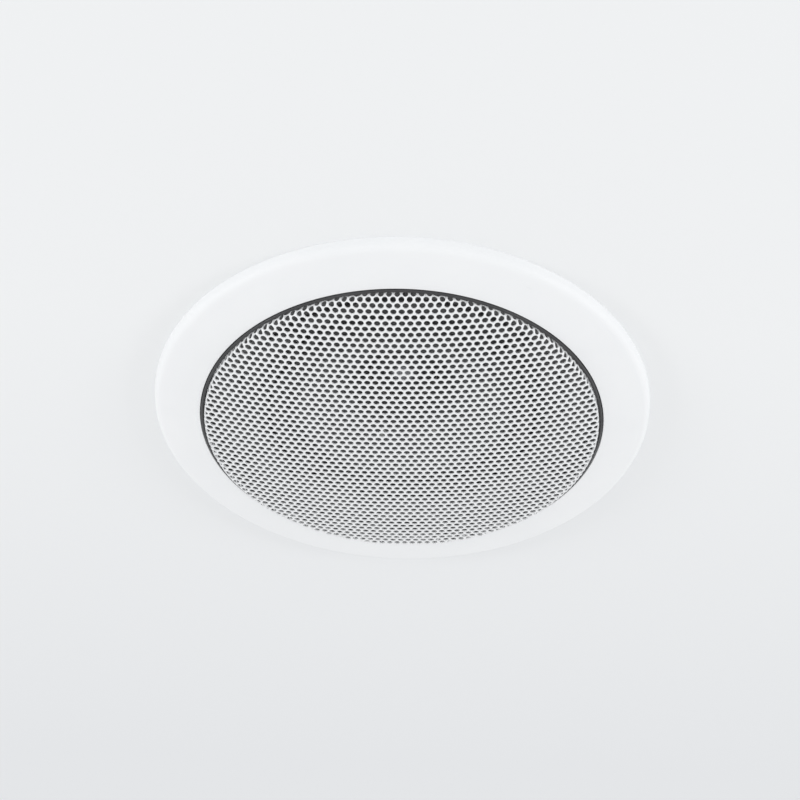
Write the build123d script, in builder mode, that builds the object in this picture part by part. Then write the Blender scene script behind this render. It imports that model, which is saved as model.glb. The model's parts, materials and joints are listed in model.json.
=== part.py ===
"""In-ceiling coaxial loudspeaker as separate pieces in one frame, in millimetres.

The ceiling's underside is z = 0. The room lies below it (-Z) and the ceiling void above it (+Z).
"""

import os
from math import cos, hypot, radians, sin, sqrt

from build123d import *

# Radii of the front, built outward from the woofer's rim
WOOFER_R = 62.0
CLAMP_HEAD_R = 3.6
RIM_TO_HEAD = 1.9
HEAD_TO_LEDGE = 1.2
LEDGE_W = 1.9
GRILLE_CLEARANCE = 0.25
LIP_W = 1.15
BEZEL_CLEARANCE = 0.27
SKIRT_STEP = 5.4
FLANGE_W = 12.5

CLAMP_R = WOOFER_R + RIM_TO_HEAD + CLAMP_HEAD_R
LEDGE_R = CLAMP_R + CLAMP_HEAD_R + HEAD_TO_LEDGE
GRILLE_R = LEDGE_R + LEDGE_W
LIP_IN = GRILLE_R + GRILLE_CLEARANCE
LIP_OUT = LIP_IN + LIP_W
BEZEL_IN = LIP_OUT + BEZEL_CLEARANCE
SKIRT_R = LIP_OUT + SKIRT_STEP
BEZEL_R = SKIRT_R + FLANGE_W

# Bezel and chassis
FLANGE_T = 2.5
FLANGE_CLEARANCE = 0.3
COVER_GAP = 0.05
BEZEL_WALL = 2.2
BEZEL_DRAFT = 0.4
BEZEL_FACE_DROP = 4.25
BEZEL_EDGE_ROUND = 3.5
BEZEL_LIP_ROUND = 0.15
BEZEL_BOSS_R = 3.4
BEZEL_BOSS_INSET = 9.5
BEZEL_BOSSES = 6
LIP_PROUD = 0.6
LIP_ROUND = 0.5
LEDGE_DROP = 4.0
PLATE_BACK = 2.0
PLATE_T = 3.0
SKIRT_H = 8.0
SKIRT_WALL = 2.5
COLLAR_W = 2.5
COLLAR_H = 4.0
RIB_T = 2.0
RIB_H = 4.0
RIBS = 12

BEZEL_EDGE_H = FLANGE_T + COVER_GAP + BEZEL_WALL
BEZEL_RISE = BEZEL_EDGE_H + BEZEL_FACE_DROP
BOSS_R = BEZEL_R - BEZEL_BOSS_INSET
LIP_Z = -BEZEL_RISE - LIP_PROUD
LEDGE_Z = -BEZEL_RISE + LEDGE_DROP
PLATE_FRONT = PLATE_BACK - PLATE_T
SKIRT_IN = SKIRT_R - SKIRT_WALL

# Grille: domed perforated sheet with a turned-down skirt
GRILLE_T = 0.6
GRILLE_EDGE_RISE = 2.3
GRILLE_CROWN = 8.67
GRILLE_BEND = 1.2
GRILLE_PITCH = 12.4
GRILLE_HOLE_R = 4.1
GRILLE_MARGIN = 1.9

# Woofer basket, gasket and moving parts
RIM_T = 1.5
RIM_W = 12.0
BASKET_T = 1.2
HOLE_CLEARANCE = 0.8
NECK_H = 4.0
SHELF_H = 21.0
SHELF_OUT_STEP = 10.0
SHELF_W = 7.0
MOTOR_STEP = 7.2
BASKET_HOLE_R = 17.0
WINDOWS = 8
WINDOW_W = 17.0
WINDOW_H = 11.0
WINDOW_ROUND = 3.0
SURROUND_T = 0.6
SURROUND_ROLL_H = 3.6
SURROUND_LAP = 2.7
ROLL_W = 6.8
GASKET_T = 2.0
GASKET_INSET = 0.8
CONE_T = 0.8
CONE_NECK_H = 16.0
EYELET_R = 1.5
EYELET_SHANK_R = 0.8
EYELET_FLANGE = 0.4
EYELET_SPREAD = 23.5
FORMER_R = 12.65
FORMER_T = 0.3
FORMER_FRONT = 1.0
COIL_T = 0.6
COIL_H = 9.0
FORMER_TAIL = 0.4
GLUE_GAP = 0.05
COIL_GAP = 0.45
SPIDER_T = 0.5
SPIDER_WAVE = 1.2
SPIDER_WAVES = 4
SPIDER_FLAT = 4.0
SPIDER_EDGE_GAP = 0.7

# Woofer motor
TOP_T = 5.0
TOP_LAP = 4.0
MAGNET_T = 14.0
MAGNET_STEP = 5.0
MAGNET_IN = 20.0
MAGNET_CHAMFER = 0.8
BACK_T = 5.0
BACK_STEP = 1.0
BACK_CHAMFER = 1.5
POST_R = 4.0
POST_CLEARANCE = 0.2

# Tweeter on the pole
POST_SPACER_R = 6.0
POST_SPACER_H = 3.2
CUP_R = 11.2
CUP_H = 7.0
CUP_FLOOR = 1.6
TWEETER_COIL_R = 6.5
TWEETER_GAP = 0.6
DIAPHRAGM_T = 0.3
DOME_H = 2.4
TWEETER_COIL_H = 3.0
TWEETER_MAGNET_T = 2.6
POLE_TIP_T = 1.5
FACE_T = 1.1
FACE_LAP = 0.9
NUT_H = 3.0
NUT_R = 5.8
POST_TAIL = 0.8

# Fasteners
SCREW_CLEARANCE = 0.3
THREAD_GAP = 0.05
WOOFER_SCREW_R = 1.9
WOOFER_HEAD_R = 3.2
WOOFER_HEAD_H = 2.4
WOOFER_SCREW_L = 10.0
WOOFER_SCREW_INSET = 4.5
WOOFER_SCREWS = 4
HEAD_CLEARANCE = 0.4
BOSS_WALL = 2.2
BEZEL_SCREW_R = 1.25
BEZEL_HEAD_R = 2.5
BEZEL_SCREW_L = 5.0
SMALL_SCREW_R = 1.2
SMALL_HEAD_R = 2.4
SMALL_HEAD_H = 1.6
SMALL_SCREW_L = 4.5
TRAY_SCREW_R = 1.5
TRAY_HEAD_R = 2.8
TRAY_HEAD_H = 2.0
TRAY_SCREW_L = 5.5
TRAY_SCREW_X = 20.0

# Ceiling clamps
CLAMPS = 3
CLAMP_START = 30.0
CLAMP_SCREW_R = 2.0
CLAMP_HEAD_H = 2.4
HUB_R = 5.0
HUB_H = 10.0
DOG_REACH = 25.0
DOG_W = 9.0
DOG_TIP_H = 4.0
DOG_SOLE = 1.0
DOG_PAD = 7.0
DOG_TIP_ROUND = 3.0
DOG_BORE_GAP = 0.15
TOWER_GAP = 0.5
TOWER_WALL = 1.8
ARM_GAP = 0.3
DOG_SKIRT_GAP = 0.5
CLAMP_TRAVEL = 22.0
CAP_GAP = 0.5
CAP_T = 3.0
SCREW_TAIL = 0.5
GUSSET_T = 2.0
GUSSET_H = 24.0

# Crossover tray, board and parts
TRAY_L = 66.0
TRAY_W = 50.0
TRAY_WALL = 1.8
TRAY_FLOOR = 2.0
TRAY_CORNER = 5.0
TRAY_POST_R = 3.0
TRAY_POST_H = 4.0
TRAY_LIP = 1.2
NUT_ROOM = 2.2
BOARD_T = 1.6
BOARD_GAP = 0.4
BOARD_SCREW_INSET = 3.6
BOBBIN_R = 11.0
BOBBIN_H = 13.0
BOBBIN_FLANGE = 1.2
BOBBIN_CORE_R = 5.5
BOBBIN_BORE_R = 3.5
WINDING_INSET = 0.9
PART_EDGE = 3.4
PART_GAP = 0.1
CAPACITOR_R = 6.5
FILM_L = 13.0
FILM_W = 6.0
FILM_H = 11.0
RESISTOR_W = 9.0
RESISTOR_H = 8.0
RESISTOR_TO_SCREW = 4.8
LEG_R = 0.4
LEG_OUT = 2.2
LEG_BEND = 1.0

# Spring terminal
HOUSING_L = 34.0
HOUSING_D = 11.0
HOUSING_H = 22.0
HOUSING_LIFT = 0.5
HOUSING_ROUND = 1.2
EAR_L = 7.0
EAR_H = 7.5
EAR_T = 2.5
LEVER_X = 8.0
LEVER_W = 9.8
LEVER_T = 2.6
LEVER_UP = 11.0
LEVER_DOWN = 2.0
TAB_T = 2.8
TAB_OUT = 6.0
TAB_ROUND = 1.6
POCKET_GAP = 0.3
POCKET_D = 9.0
POCKET_FLOOR = 5.0
POCKET_H = 15.0
PIVOT_UP = 3.0
PIVOT_IN = 4.5
PIN_R = 1.2
PIN_GAP = 0.1
PIN_L = 1.0
WIRE_HOLE = 3.2
WIRE_DEPTH = 8.0
WIRE_UP = 1.2
TAG_L = 18.0
TAG_W = 6.0
TAG_T = 1.6
LUG_W = 4.0
LUG_T = 0.6
LUG_H = 6.0
LUG_X = 5.5
TAG_ANGLE = 83.0

# Heights and radii that follow from the sizes above
RIM_IN = WOOFER_R - RIM_W
HOLE_R = RIM_IN + BASKET_T + HOLE_CLEARANCE
RIM_FRONT = PLATE_FRONT - RIM_T
NECK_Z = PLATE_FRONT + NECK_H
SHELF_Z = PLATE_FRONT + SHELF_H
SHELF_OUT = RIM_IN - SHELF_OUT_STEP
SHELF_IN = SHELF_OUT - SHELF_W
MOTOR_Z = SHELF_Z + MOTOR_STEP
TOP_R = SHELF_IN + TOP_LAP
MAGNET_R = TOP_R + MAGNET_STEP
BACK_R = TOP_R + BACK_STEP
WOOFER_SCREW_PCR = WOOFER_R - WOOFER_SCREW_INSET
SURROUND_R = WOOFER_SCREW_PCR - WOOFER_HEAD_R - HEAD_CLEARANCE
CONE_R = RIM_IN - ROLL_W
NECK_R = FORMER_R + FORMER_T + GLUE_GAP
CONE_NECK_Z = PLATE_FRONT + CONE_NECK_H
COIL_MID = MOTOR_Z + TOP_T / 2
COIL_OUT = FORMER_R + FORMER_T + COIL_T
POLE_R = FORMER_R - COIL_GAP
TOP_IN = COIL_OUT + COIL_GAP
MAGNET_Z = MOTOR_Z + TOP_T
YOKE_Z = MAGNET_Z + MAGNET_T
BACK_Z = YOKE_Z + BACK_T
CUP_BACK = MOTOR_Z - POST_SPACER_H
CUP_FRONT = CUP_BACK - CUP_H
CUP_IN = TWEETER_COIL_R + TWEETER_GAP
DOG_Z = SKIRT_H + DOG_SKIRT_GAP + CLAMP_TRAVEL
CAP_Z = DOG_Z + HUB_H + CAP_GAP
TOWER_IN = HUB_R + TOWER_GAP
TOWER_OUT = TOWER_IN + TOWER_WALL
FLOOR_Z = BACK_Z + TRAY_FLOOR
BOARD_Z = FLOOR_Z + TRAY_POST_H
BOARD_TOP = BOARD_Z + BOARD_T
BOARD_L = TRAY_L - 2 * (TRAY_WALL + BOARD_GAP)
BOARD_W = TRAY_W - 2 * (TRAY_WALL + BOARD_GAP)
BOARD_SCREW_X = BOARD_L / 2 - BOARD_SCREW_INSET
BOARD_SCREW_Y = BOARD_W / 2 - BOARD_SCREW_INSET
HOUSING_Y = -TRAY_W / 2 - HOUSING_D
HOUSING_Z = BACK_Z + HOUSING_LIFT
POCKET_W = LEVER_W + 2 * POCKET_GAP
POCKET_Z = HOUSING_Z + POCKET_FLOOR
PIVOT_Y = HOUSING_Y + PIVOT_IN
PIVOT_Z = POCKET_Z + PIVOT_UP
EAR_X = HOUSING_L / 2 + EAR_L / 2
EAR_SCREW_Z = HOUSING_Z + EAR_H / 2

UP = (Align.CENTER, Align.CENTER, Align.MIN)
DOWN = (Align.CENTER, Align.CENTER, Align.MAX)
INWARD = (Align.CENTER, Align.MIN, Align.MIN)
CLAMP_ANGLES = [CLAMP_START + 360 / CLAMPS * n for n in range(CLAMPS)]


def turned(*outline):
    """Adds a solid of revolution about Z from a closed outline of (radius, z) corners."""
    with BuildSketch(Plane.XZ) as outline_face:
        with BuildLine():
            Polyline(*outline, close=True)
        make_face()
    revolve(outline_face.sketch, axis=Axis.Z)


def ring(inner, outer, low, high):
    """Adds a plain ring about Z."""
    turned((inner, low), (outer, low), (outer, high), (inner, high))


def screw(head_r, head_h, shank_r, length):
    """Adds a pan-head screw at the current places: seat at 0, shank upward, head downward."""
    Cylinder(head_r, head_h, align=DOWN)
    Cylinder(shank_r, length, align=UP)
    with Locations((0, 0, -head_h)):
        Box(head_r * 1.3, head_r * 0.28, head_h, mode=Mode.SUBTRACT)
        Box(head_r * 0.28, head_r * 1.3, head_h, mode=Mode.SUBTRACT)


def clamp_centre(angle, z):
    """Gives the point on a clamp screw's axis at height z."""
    return (CLAMP_R * cos(radians(angle)), CLAMP_R * sin(radians(angle)), z)


pieces = {}

# White trim ring: sloping face, rounded rim, screw bosses behind
FACE_OUT = BEZEL_R - BEZEL_DRAFT
BOSS_Z = -BEZEL_RISE + BEZEL_FACE_DROP * (BOSS_R - BEZEL_IN) / (FACE_OUT - BEZEL_IN) + BEZEL_WALL / 2

with BuildPart() as bezel:
    with BuildSketch(Plane.XZ) as section:
        with BuildLine():
            Polyline(
                (BEZEL_R, 0),
                (FACE_OUT, -BEZEL_EDGE_H),
                (BEZEL_IN, -BEZEL_RISE),
                (BEZEL_IN, -BEZEL_RISE + BEZEL_WALL),
                (FACE_OUT - BEZEL_WALL, -BEZEL_EDGE_H + BEZEL_WALL),
                (BEZEL_R - BEZEL_WALL, 0),
                close=True,
            )
        make_face()
        rim = section.vertices().sort_by_distance((FACE_OUT, -BEZEL_EDGE_H))[0]
        fillet(rim, radius=BEZEL_EDGE_ROUND)
        lip = section.vertices().sort_by_distance((BEZEL_IN, -BEZEL_RISE))[0]
        fillet(lip, radius=BEZEL_LIP_ROUND)
    revolve(axis=Axis.Z)
    with Locations((0, 0, -FLANGE_T)):
        with PolarLocations(BOSS_R, BEZEL_BOSSES):
            Cylinder(BEZEL_BOSS_R, -FLANGE_T - BOSS_Z, align=DOWN)
            Cylinder(BEZEL_SCREW_R + THREAD_GAP, BEZEL_SCREW_L - FLANGE_T, align=DOWN, mode=Mode.SUBTRACT)
pieces["bezel"] = bezel

# Black moulded frame: flange, lip, plate, skirt, ribs, screw bosses and clamp towers
FLANGE_R = BEZEL_R - BEZEL_DRAFT - BEZEL_WALL - FLANGE_CLEARANCE
RIB_L = SKIRT_IN - HOLE_R - COLLAR_W + 1
BOSS_OUT = WOOFER_SCREW_R + BOSS_WALL
ARM_SIDE = DOG_W / 2 + ARM_GAP
CLEAR = TOWER_OUT + 1
TOWER_H = CAP_Z - PLATE_BACK + 1

with BuildPart() as chassis:
    with BuildSketch(Plane.XZ) as section:
        with BuildLine():
            Polyline(
                (HOLE_R, PLATE_FRONT),
                (LEDGE_R, PLATE_FRONT),
                (LEDGE_R, LEDGE_Z),
                (LIP_IN, LEDGE_Z),
                (LIP_IN, LIP_Z),
                (LIP_OUT, LIP_Z),
                (LIP_OUT, -FLANGE_T),
                (FLANGE_R, -FLANGE_T),
                (FLANGE_R, 0),
                (SKIRT_R, 0),
                (SKIRT_R, SKIRT_H),
                (SKIRT_IN, SKIRT_H),
                (SKIRT_IN, PLATE_BACK),
                (HOLE_R + COLLAR_W, PLATE_BACK),
                (HOLE_R + COLLAR_W, PLATE_BACK + COLLAR_H),
                (HOLE_R, PLATE_BACK + COLLAR_H),
                close=True,
            )
        make_face()
        tips = section.vertices().group_by(Axis.Y)[0]
        fillet(tips, radius=LIP_ROUND)
    revolve(axis=Axis.Z)
    with Locations((0, 0, PLATE_BACK - 1)):
        with PolarLocations((SKIRT_IN + HOLE_R + COLLAR_W) / 2, RIBS, CLAMP_START / 2):
            Box(RIB_L, RIB_T, RIB_H + 1, align=UP)
        with PolarLocations(WOOFER_SCREW_PCR, WOOFER_SCREWS, 45):
            Cylinder(BOSS_OUT, WOOFER_SCREW_L, align=UP)
    with BuildSketch(Plane.XY.offset(PLATE_BACK - 1)):
        with PolarLocations(CLAMP_R, CLAMPS, CLAMP_START):
            Circle(TOWER_OUT)
            Circle(TOWER_IN, mode=Mode.SUBTRACT)
            Polygon(
                (0, ARM_SIDE),
                (CLEAR, ARM_SIDE),
                (CLEAR, -CLEAR),
                (-ARM_SIDE, -CLEAR),
                (-ARM_SIDE, 0),
                (0, 0),
                align=None,
                mode=Mode.SUBTRACT,
            )
    extrude(amount=TOWER_H)
    with Locations((0, 0, CAP_Z)):
        with PolarLocations(CLAMP_R, CLAMPS, CLAMP_START):
            Cylinder(TOWER_OUT, CAP_T, align=UP)
    for angle in CLAMP_ANGLES:
        inward = (-cos(radians(angle)), -sin(radians(angle)), 0)
        across = (-sin(radians(angle)), cos(radians(angle)), 0)
        with BuildSketch(Plane(clamp_centre(angle, PLATE_BACK - 1), x_dir=inward, z_dir=across)):
            with BuildLine():
                Polyline(
                    (TOWER_IN + TOWER_WALL / 2, 0),
                    (CLAMP_R - HOLE_R - COLLAR_W / 2, 0),
                    (CLAMP_R - HOLE_R - COLLAR_W / 2, COLLAR_H),
                    (TOWER_IN + TOWER_WALL / 2, GUSSET_H),
                    close=True,
                )
            make_face()
        extrude(amount=GUSSET_T / 2, both=True)
    with Locations((0, 0, PLATE_FRONT)):
        with PolarLocations(WOOFER_SCREW_PCR, WOOFER_SCREWS, 45):
            Cylinder(WOOFER_SCREW_R + THREAD_GAP, WOOFER_SCREW_L, align=UP, mode=Mode.SUBTRACT)
        with PolarLocations(CLAMP_R, CLAMPS, CLAMP_START):
            Cylinder(
                CLAMP_SCREW_R + SCREW_CLEARANCE,
                CAP_Z + CAP_T - PLATE_FRONT,
                align=UP,
                mode=Mode.SUBTRACT,
            )
    with PolarLocations(BOSS_R, BEZEL_BOSSES):
        Cylinder(BEZEL_SCREW_R + SCREW_CLEARANCE, FLANGE_T, align=DOWN, mode=Mode.SUBTRACT)
        Cone(
            BEZEL_SCREW_R + SCREW_CLEARANCE,
            BEZEL_HEAD_R + SCREW_CLEARANCE,
            BEZEL_HEAD_R - BEZEL_SCREW_R,
            align=DOWN,
            mode=Mode.SUBTRACT,
        )
pieces["chassis"] = chassis

with BuildPart() as bezel_screws:
    with Locations((0, 0, -SCREW_CLEARANCE / 2)):
        with PolarLocations(BOSS_R, BEZEL_BOSSES):
            Cone(BEZEL_SCREW_R, BEZEL_HEAD_R, BEZEL_HEAD_R - BEZEL_SCREW_R, align=DOWN)
            Cylinder(BEZEL_SCREW_R, BEZEL_SCREW_L - SCREW_CLEARANCE, align=DOWN)
            Box(BEZEL_HEAD_R, BEZEL_SCREW_R / 2, BEZEL_SCREW_R, mode=Mode.SUBTRACT)
            Box(BEZEL_SCREW_R / 2, BEZEL_HEAD_R, BEZEL_SCREW_R, mode=Mode.SUBTRACT)
pieces["bezel_screws"] = bezel_screws

# Grille: spherical dome of perforated sheet, bent at the edge into a skirt that stands on the ledge
EDGE_Z = -BEZEL_RISE - GRILLE_EDGE_RISE
APEX_Z = EDGE_Z - GRILLE_CROWN
SPHERE_R = (GRILLE_R**2 + GRILLE_CROWN**2) / (2 * GRILLE_CROWN)
CENTRE_Z = APEX_Z + SPHERE_R


def dome_z(r, sphere_r):
    """Gives the height of a sphere about the dome's centre at radius r."""
    return CENTRE_Z - sqrt(sphere_r**2 - r**2)


PERFORATED_R = GRILLE_R - GRILLE_BEND - GRILLE_MARGIN - GRILLE_HOLE_R
ROWS = range(-20, 21)
lattice = [(GRILLE_PITCH * (i + j / 2), GRILLE_PITCH * j * sqrt(3) / 2) for i in ROWS for j in ROWS]
holes = [
    Plane((x, y, dome_z(hypot(x, y), SPHERE_R)), z_dir=(x, y, dome_z(hypot(x, y), SPHERE_R) - CENTRE_Z))
    for x, y in lattice
    if hypot(x, y) < PERFORATED_R
]

with BuildPart() as grille:
    with BuildSketch(Plane.XZ) as section:
        with BuildLine():
            half = GRILLE_R / 2
            inner_r = GRILLE_R - GRILLE_T
            outside = ThreePointArc(
                (0, APEX_Z),
                (half, dome_z(half, SPHERE_R)),
                (GRILLE_R, EDGE_Z),
            )
            inside = ThreePointArc(
                (0, APEX_Z + GRILLE_T),
                (half, dome_z(half, SPHERE_R - GRILLE_T)),
                (inner_r, dome_z(inner_r, SPHERE_R - GRILLE_T)),
            )
            Polyline(outside @ 1, (GRILLE_R, LEDGE_Z), (inner_r, LEDGE_Z), inside @ 1)
            Line(outside @ 0, inside @ 0)
        make_face()
        bend = section.vertices().sort_by_distance((GRILLE_R, EDGE_Z))[0]
        fillet(bend, radius=GRILLE_BEND)
        bend = section.vertices().sort_by_distance((inner_r, EDGE_Z + GRILLE_T))[0]
        fillet(bend, radius=GRILLE_BEND - GRILLE_T)
    revolve(axis=Axis.Z)
    with Locations(*holes):
        Cylinder(GRILLE_HOLE_R, 6 * GRILLE_T, mode=Mode.SUBTRACT)
pieces["grille"] = grille

# Woofer: pressed basket with windows, spider shelf and motor seat
WINDOW_Z = (NECK_Z + SHELF_Z) / 2

with BuildPart() as woofer_basket:
    turned(
        (WOOFER_R, PLATE_FRONT),
        (WOOFER_R, RIM_FRONT),
        (RIM_IN, RIM_FRONT),
        (RIM_IN, NECK_Z),
        (SHELF_OUT, SHELF_Z),
        (SHELF_IN, SHELF_Z),
        (SHELF_IN, MOTOR_Z - BASKET_T),
        (BASKET_HOLE_R, MOTOR_Z - BASKET_T),
        (BASKET_HOLE_R, MOTOR_Z),
        (SHELF_IN + BASKET_T, MOTOR_Z),
        (SHELF_IN + BASKET_T, SHELF_Z + BASKET_T),
        (SHELF_OUT + BASKET_T / 2, SHELF_Z + BASKET_T),
        (RIM_IN + BASKET_T, NECK_Z + BASKET_T / 2),
        (RIM_IN + BASKET_T, PLATE_FRONT),
    )
    for n in range(WINDOWS):
        angle = radians(360 / WINDOWS * (n + 0.5))
        outward = (cos(angle), sin(angle), 0)
        across = (-sin(angle), cos(angle), 0)
        with BuildSketch(Plane((0, 0, WINDOW_Z), x_dir=across, z_dir=outward)):
            RectangleRounded(WINDOW_W, WINDOW_H, WINDOW_ROUND)
        extrude(amount=RIM_IN + HOLE_CLEARANCE, mode=Mode.SUBTRACT)
    with Locations((0, 0, PLATE_FRONT)):
        with PolarLocations(WOOFER_SCREW_PCR, WOOFER_SCREWS, 45):
            Cylinder(WOOFER_SCREW_R + SCREW_CLEARANCE, RIM_T, align=DOWN, mode=Mode.SUBTRACT)
pieces["woofer_basket"] = woofer_basket

with BuildPart() as woofer_screws:
    with Locations((0, 0, RIM_FRONT)):
        with PolarLocations(WOOFER_SCREW_PCR, WOOFER_SCREWS, 45):
            screw(WOOFER_HEAD_R, WOOFER_HEAD_H, WOOFER_SCREW_R, WOOFER_SCREW_L)
pieces["woofer_screws"] = woofer_screws

# Surround: half roll of rubber between the rim and the cone
SURROUND_FRONT = RIM_FRONT - SURROUND_T
ROLL_MID = RIM_IN - ROLL_W / 2
ROLL_Z = SURROUND_FRONT - SURROUND_ROLL_H

with BuildPart() as surround:
    with BuildSketch(Plane.XZ):
        with BuildLine():
            front = ThreePointArc(
                (RIM_IN, SURROUND_FRONT),
                (ROLL_MID, ROLL_Z),
                (CONE_R, SURROUND_FRONT),
            )
            rear = ThreePointArc(
                (RIM_IN - SURROUND_T, RIM_FRONT),
                (ROLL_MID, ROLL_Z + SURROUND_T),
                (CONE_R + SURROUND_T, RIM_FRONT),
            )
            Polyline(
                front @ 1,
                (CONE_R - SURROUND_LAP, SURROUND_FRONT),
                (CONE_R - SURROUND_LAP, RIM_FRONT),
                rear @ 1,
            )
            Polyline(rear @ 0, (SURROUND_R, RIM_FRONT), (SURROUND_R, SURROUND_FRONT), front @ 0)
        make_face()
    revolve(axis=Axis.Z)
pieces["surround"] = surround

with BuildPart() as woofer_gasket:
    ring(RIM_IN + GASKET_INSET, SURROUND_R, SURROUND_FRONT - GASKET_T, SURROUND_FRONT)
pieces["woofer_gasket"] = woofer_gasket

# Cone: flat glue edge, flared body, neck on the coil former
CONE_EDGE = CONE_R - SURROUND_LAP - CONE_T
CONE_MID_R = NECK_R + 0.45 * (CONE_EDGE - NECK_R)
CONE_MID_Z = RIM_FRONT + 0.45 * (CONE_NECK_Z - RIM_FRONT)
CONE_RUN = CONE_EDGE - NECK_R
CONE_RISE = CONE_NECK_Z - RIM_FRONT
CONE_GRIP = CONE_T * (CONE_RUN + CONE_RISE / 2) / hypot(CONE_RUN, CONE_RISE)
EYELET_ANGLES = (TAG_ANGLE - EYELET_SPREAD, TAG_ANGLE + EYELET_SPREAD)


def eyelet_plane(angle):
    """Plane on the cone's front face, half-way up, that faces the room square to the cone."""
    spoke = Vector(cos(radians(angle)), sin(radians(angle)), 0)
    return Plane(
        spoke * CONE_MID_R + Vector(0, 0, CONE_MID_Z),
        z_dir=spoke * -CONE_RISE + Vector(0, 0, -CONE_RUN),
    )


with BuildPart() as cone:
    with BuildSketch(Plane.XZ):
        with BuildLine():
            front = ThreePointArc((CONE_EDGE, RIM_FRONT), (CONE_MID_R, CONE_MID_Z), (NECK_R, CONE_NECK_Z))
            rear = ThreePointArc(
                (CONE_EDGE + CONE_T, RIM_FRONT + CONE_T),
                (CONE_MID_R + CONE_T / 2, CONE_MID_Z + CONE_T),
                (NECK_R, CONE_NECK_Z + 2 * CONE_T),
            )
            Line(front @ 1, rear @ 1)
            Polyline(rear @ 0, (CONE_R, RIM_FRONT + CONE_T), (CONE_R, RIM_FRONT), front @ 0)
        make_face()
    revolve(axis=Axis.Z)
    with Locations(*[eyelet_plane(angle) for angle in EYELET_ANGLES]):
        Cylinder(EYELET_SHANK_R + GLUE_GAP, 4 * CONE_T, mode=Mode.SUBTRACT)
pieces["cone"] = cone

# Eyelets riveted through the cone, where the coil's leads come out
with BuildPart() as cone_eyelets:
    with Locations(*[eyelet_plane(angle) for angle in EYELET_ANGLES]):
        with Locations((0, 0, GLUE_GAP)):
            Cylinder(EYELET_R, EYELET_FLANGE, align=UP)
            Cylinder(EYELET_SHANK_R, CONE_GRIP + 2 * GLUE_GAP, align=DOWN)
        with Locations((0, 0, -CONE_GRIP - GLUE_GAP)):
            Cylinder(EYELET_R, EYELET_FLANGE, align=DOWN)
pieces["cone_eyelets"] = cone_eyelets

with BuildPart() as coil_former:
    ring(
        FORMER_R,
        FORMER_R + FORMER_T,
        CONE_NECK_Z - FORMER_FRONT,
        COIL_MID + COIL_H / 2 + FORMER_TAIL,
    )
pieces["coil_former"] = coil_former

with BuildPart() as voice_coil:
    ring(FORMER_R + FORMER_T, COIL_OUT, COIL_MID - COIL_H / 2, COIL_MID + COIL_H / 2)
pieces["voice_coil"] = voice_coil

# Spider: pleated disc between the shelf and the former
SPIDER_Z = SHELF_Z - SPIDER_T
SPIDER_START = NECK_R + SPIDER_FLAT
SPIDER_STEP = (SHELF_IN - 1 - SPIDER_START) / (4 * SPIDER_WAVES)
crests = [
    (SPIDER_START + SPIDER_STEP * (2 * n + 1), SPIDER_Z - SPIDER_WAVE * (-1) ** n)
    for n in range(2 * SPIDER_WAVES)
]
pleats = [
    (NECK_R, SPIDER_Z),
    (SPIDER_START, SPIDER_Z),
    *crests,
    (SHELF_IN - 1, SPIDER_Z),
    (SHELF_OUT - SPIDER_EDGE_GAP, SPIDER_Z),
]

with BuildPart() as spider:
    turned(*pleats, *[(r, z + SPIDER_T) for r, z in reversed(pleats)])
pieces["spider"] = spider

# Woofer motor: top plate, ring magnet, back plate with its pole
with BuildPart() as top_plate:
    ring(TOP_IN, TOP_R, MOTOR_Z, MAGNET_Z)
pieces["top_plate"] = top_plate

with BuildPart() as magnet:
    turned(
        (MAGNET_IN, MAGNET_Z),
        (MAGNET_R - MAGNET_CHAMFER, MAGNET_Z),
        (MAGNET_R, MAGNET_Z + MAGNET_CHAMFER),
        (MAGNET_R, YOKE_Z - MAGNET_CHAMFER),
        (MAGNET_R - MAGNET_CHAMFER, YOKE_Z),
        (MAGNET_IN, YOKE_Z),
    )
pieces["magnet"] = magnet

POST_BORE = POST_R + POST_CLEARANCE

with BuildPart() as back_plate:
    turned(
        (POST_BORE, MOTOR_Z),
        (POLE_R, MOTOR_Z),
        (POLE_R, YOKE_Z),
        (BACK_R, YOKE_Z),
        (BACK_R, BACK_Z - BACK_CHAMFER),
        (BACK_R - BACK_CHAMFER, BACK_Z),
        (POST_BORE, BACK_Z),
    )
    with Locations((-TRAY_SCREW_X, 0, BACK_Z), (TRAY_SCREW_X, 0, BACK_Z)):
        Cylinder(
            TRAY_SCREW_R + THREAD_GAP,
            TRAY_SCREW_L - TRAY_FLOOR + SCREW_CLEARANCE,
            align=DOWN,
            mode=Mode.SUBTRACT,
        )
pieces["back_plate"] = back_plate

# Solder tag strip on the back of the spider shelf
TAG_R = SHELF_IN + BASKET_T + TAG_W / 2 + GLUE_GAP

with BuildPart() as tag_strip:
    with Locations((0, 0, SHELF_Z + BASKET_T)):
        with PolarLocations(TAG_R, 1, TAG_ANGLE):
            Box(TAG_W, TAG_L, TAG_T, align=UP)
pieces["tag_strip"] = tag_strip

with BuildPart() as solder_tags:
    with Locations((0, 0, SHELF_Z + BASKET_T + TAG_T)):
        with PolarLocations(TAG_R + TAG_W / 4, 1, TAG_ANGLE):
            with Locations((0, -LUG_X), (0, LUG_X)):
                Box(LUG_T, LUG_W, LUG_H, align=UP)
pieces["solder_tags"] = solder_tags

# Tweeter on its post through the pole
with BuildPart() as tweeter_post:
    turned(
        (0, CUP_BACK),
        (POST_SPACER_R, CUP_BACK),
        (POST_SPACER_R, MOTOR_Z),
        (POST_R, MOTOR_Z),
        (POST_R, BACK_Z + NUT_H + POST_TAIL),
        (0, BACK_Z + NUT_H + POST_TAIL),
    )
pieces["tweeter_post"] = tweeter_post

with BuildPart() as tweeter_nut:
    with BuildSketch(Plane.XY.offset(BACK_Z)):
        RegularPolygon(NUT_R, 6)
        Circle(POST_R + THREAD_GAP, mode=Mode.SUBTRACT)
    extrude(amount=NUT_H)
pieces["tweeter_nut"] = tweeter_nut

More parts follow.
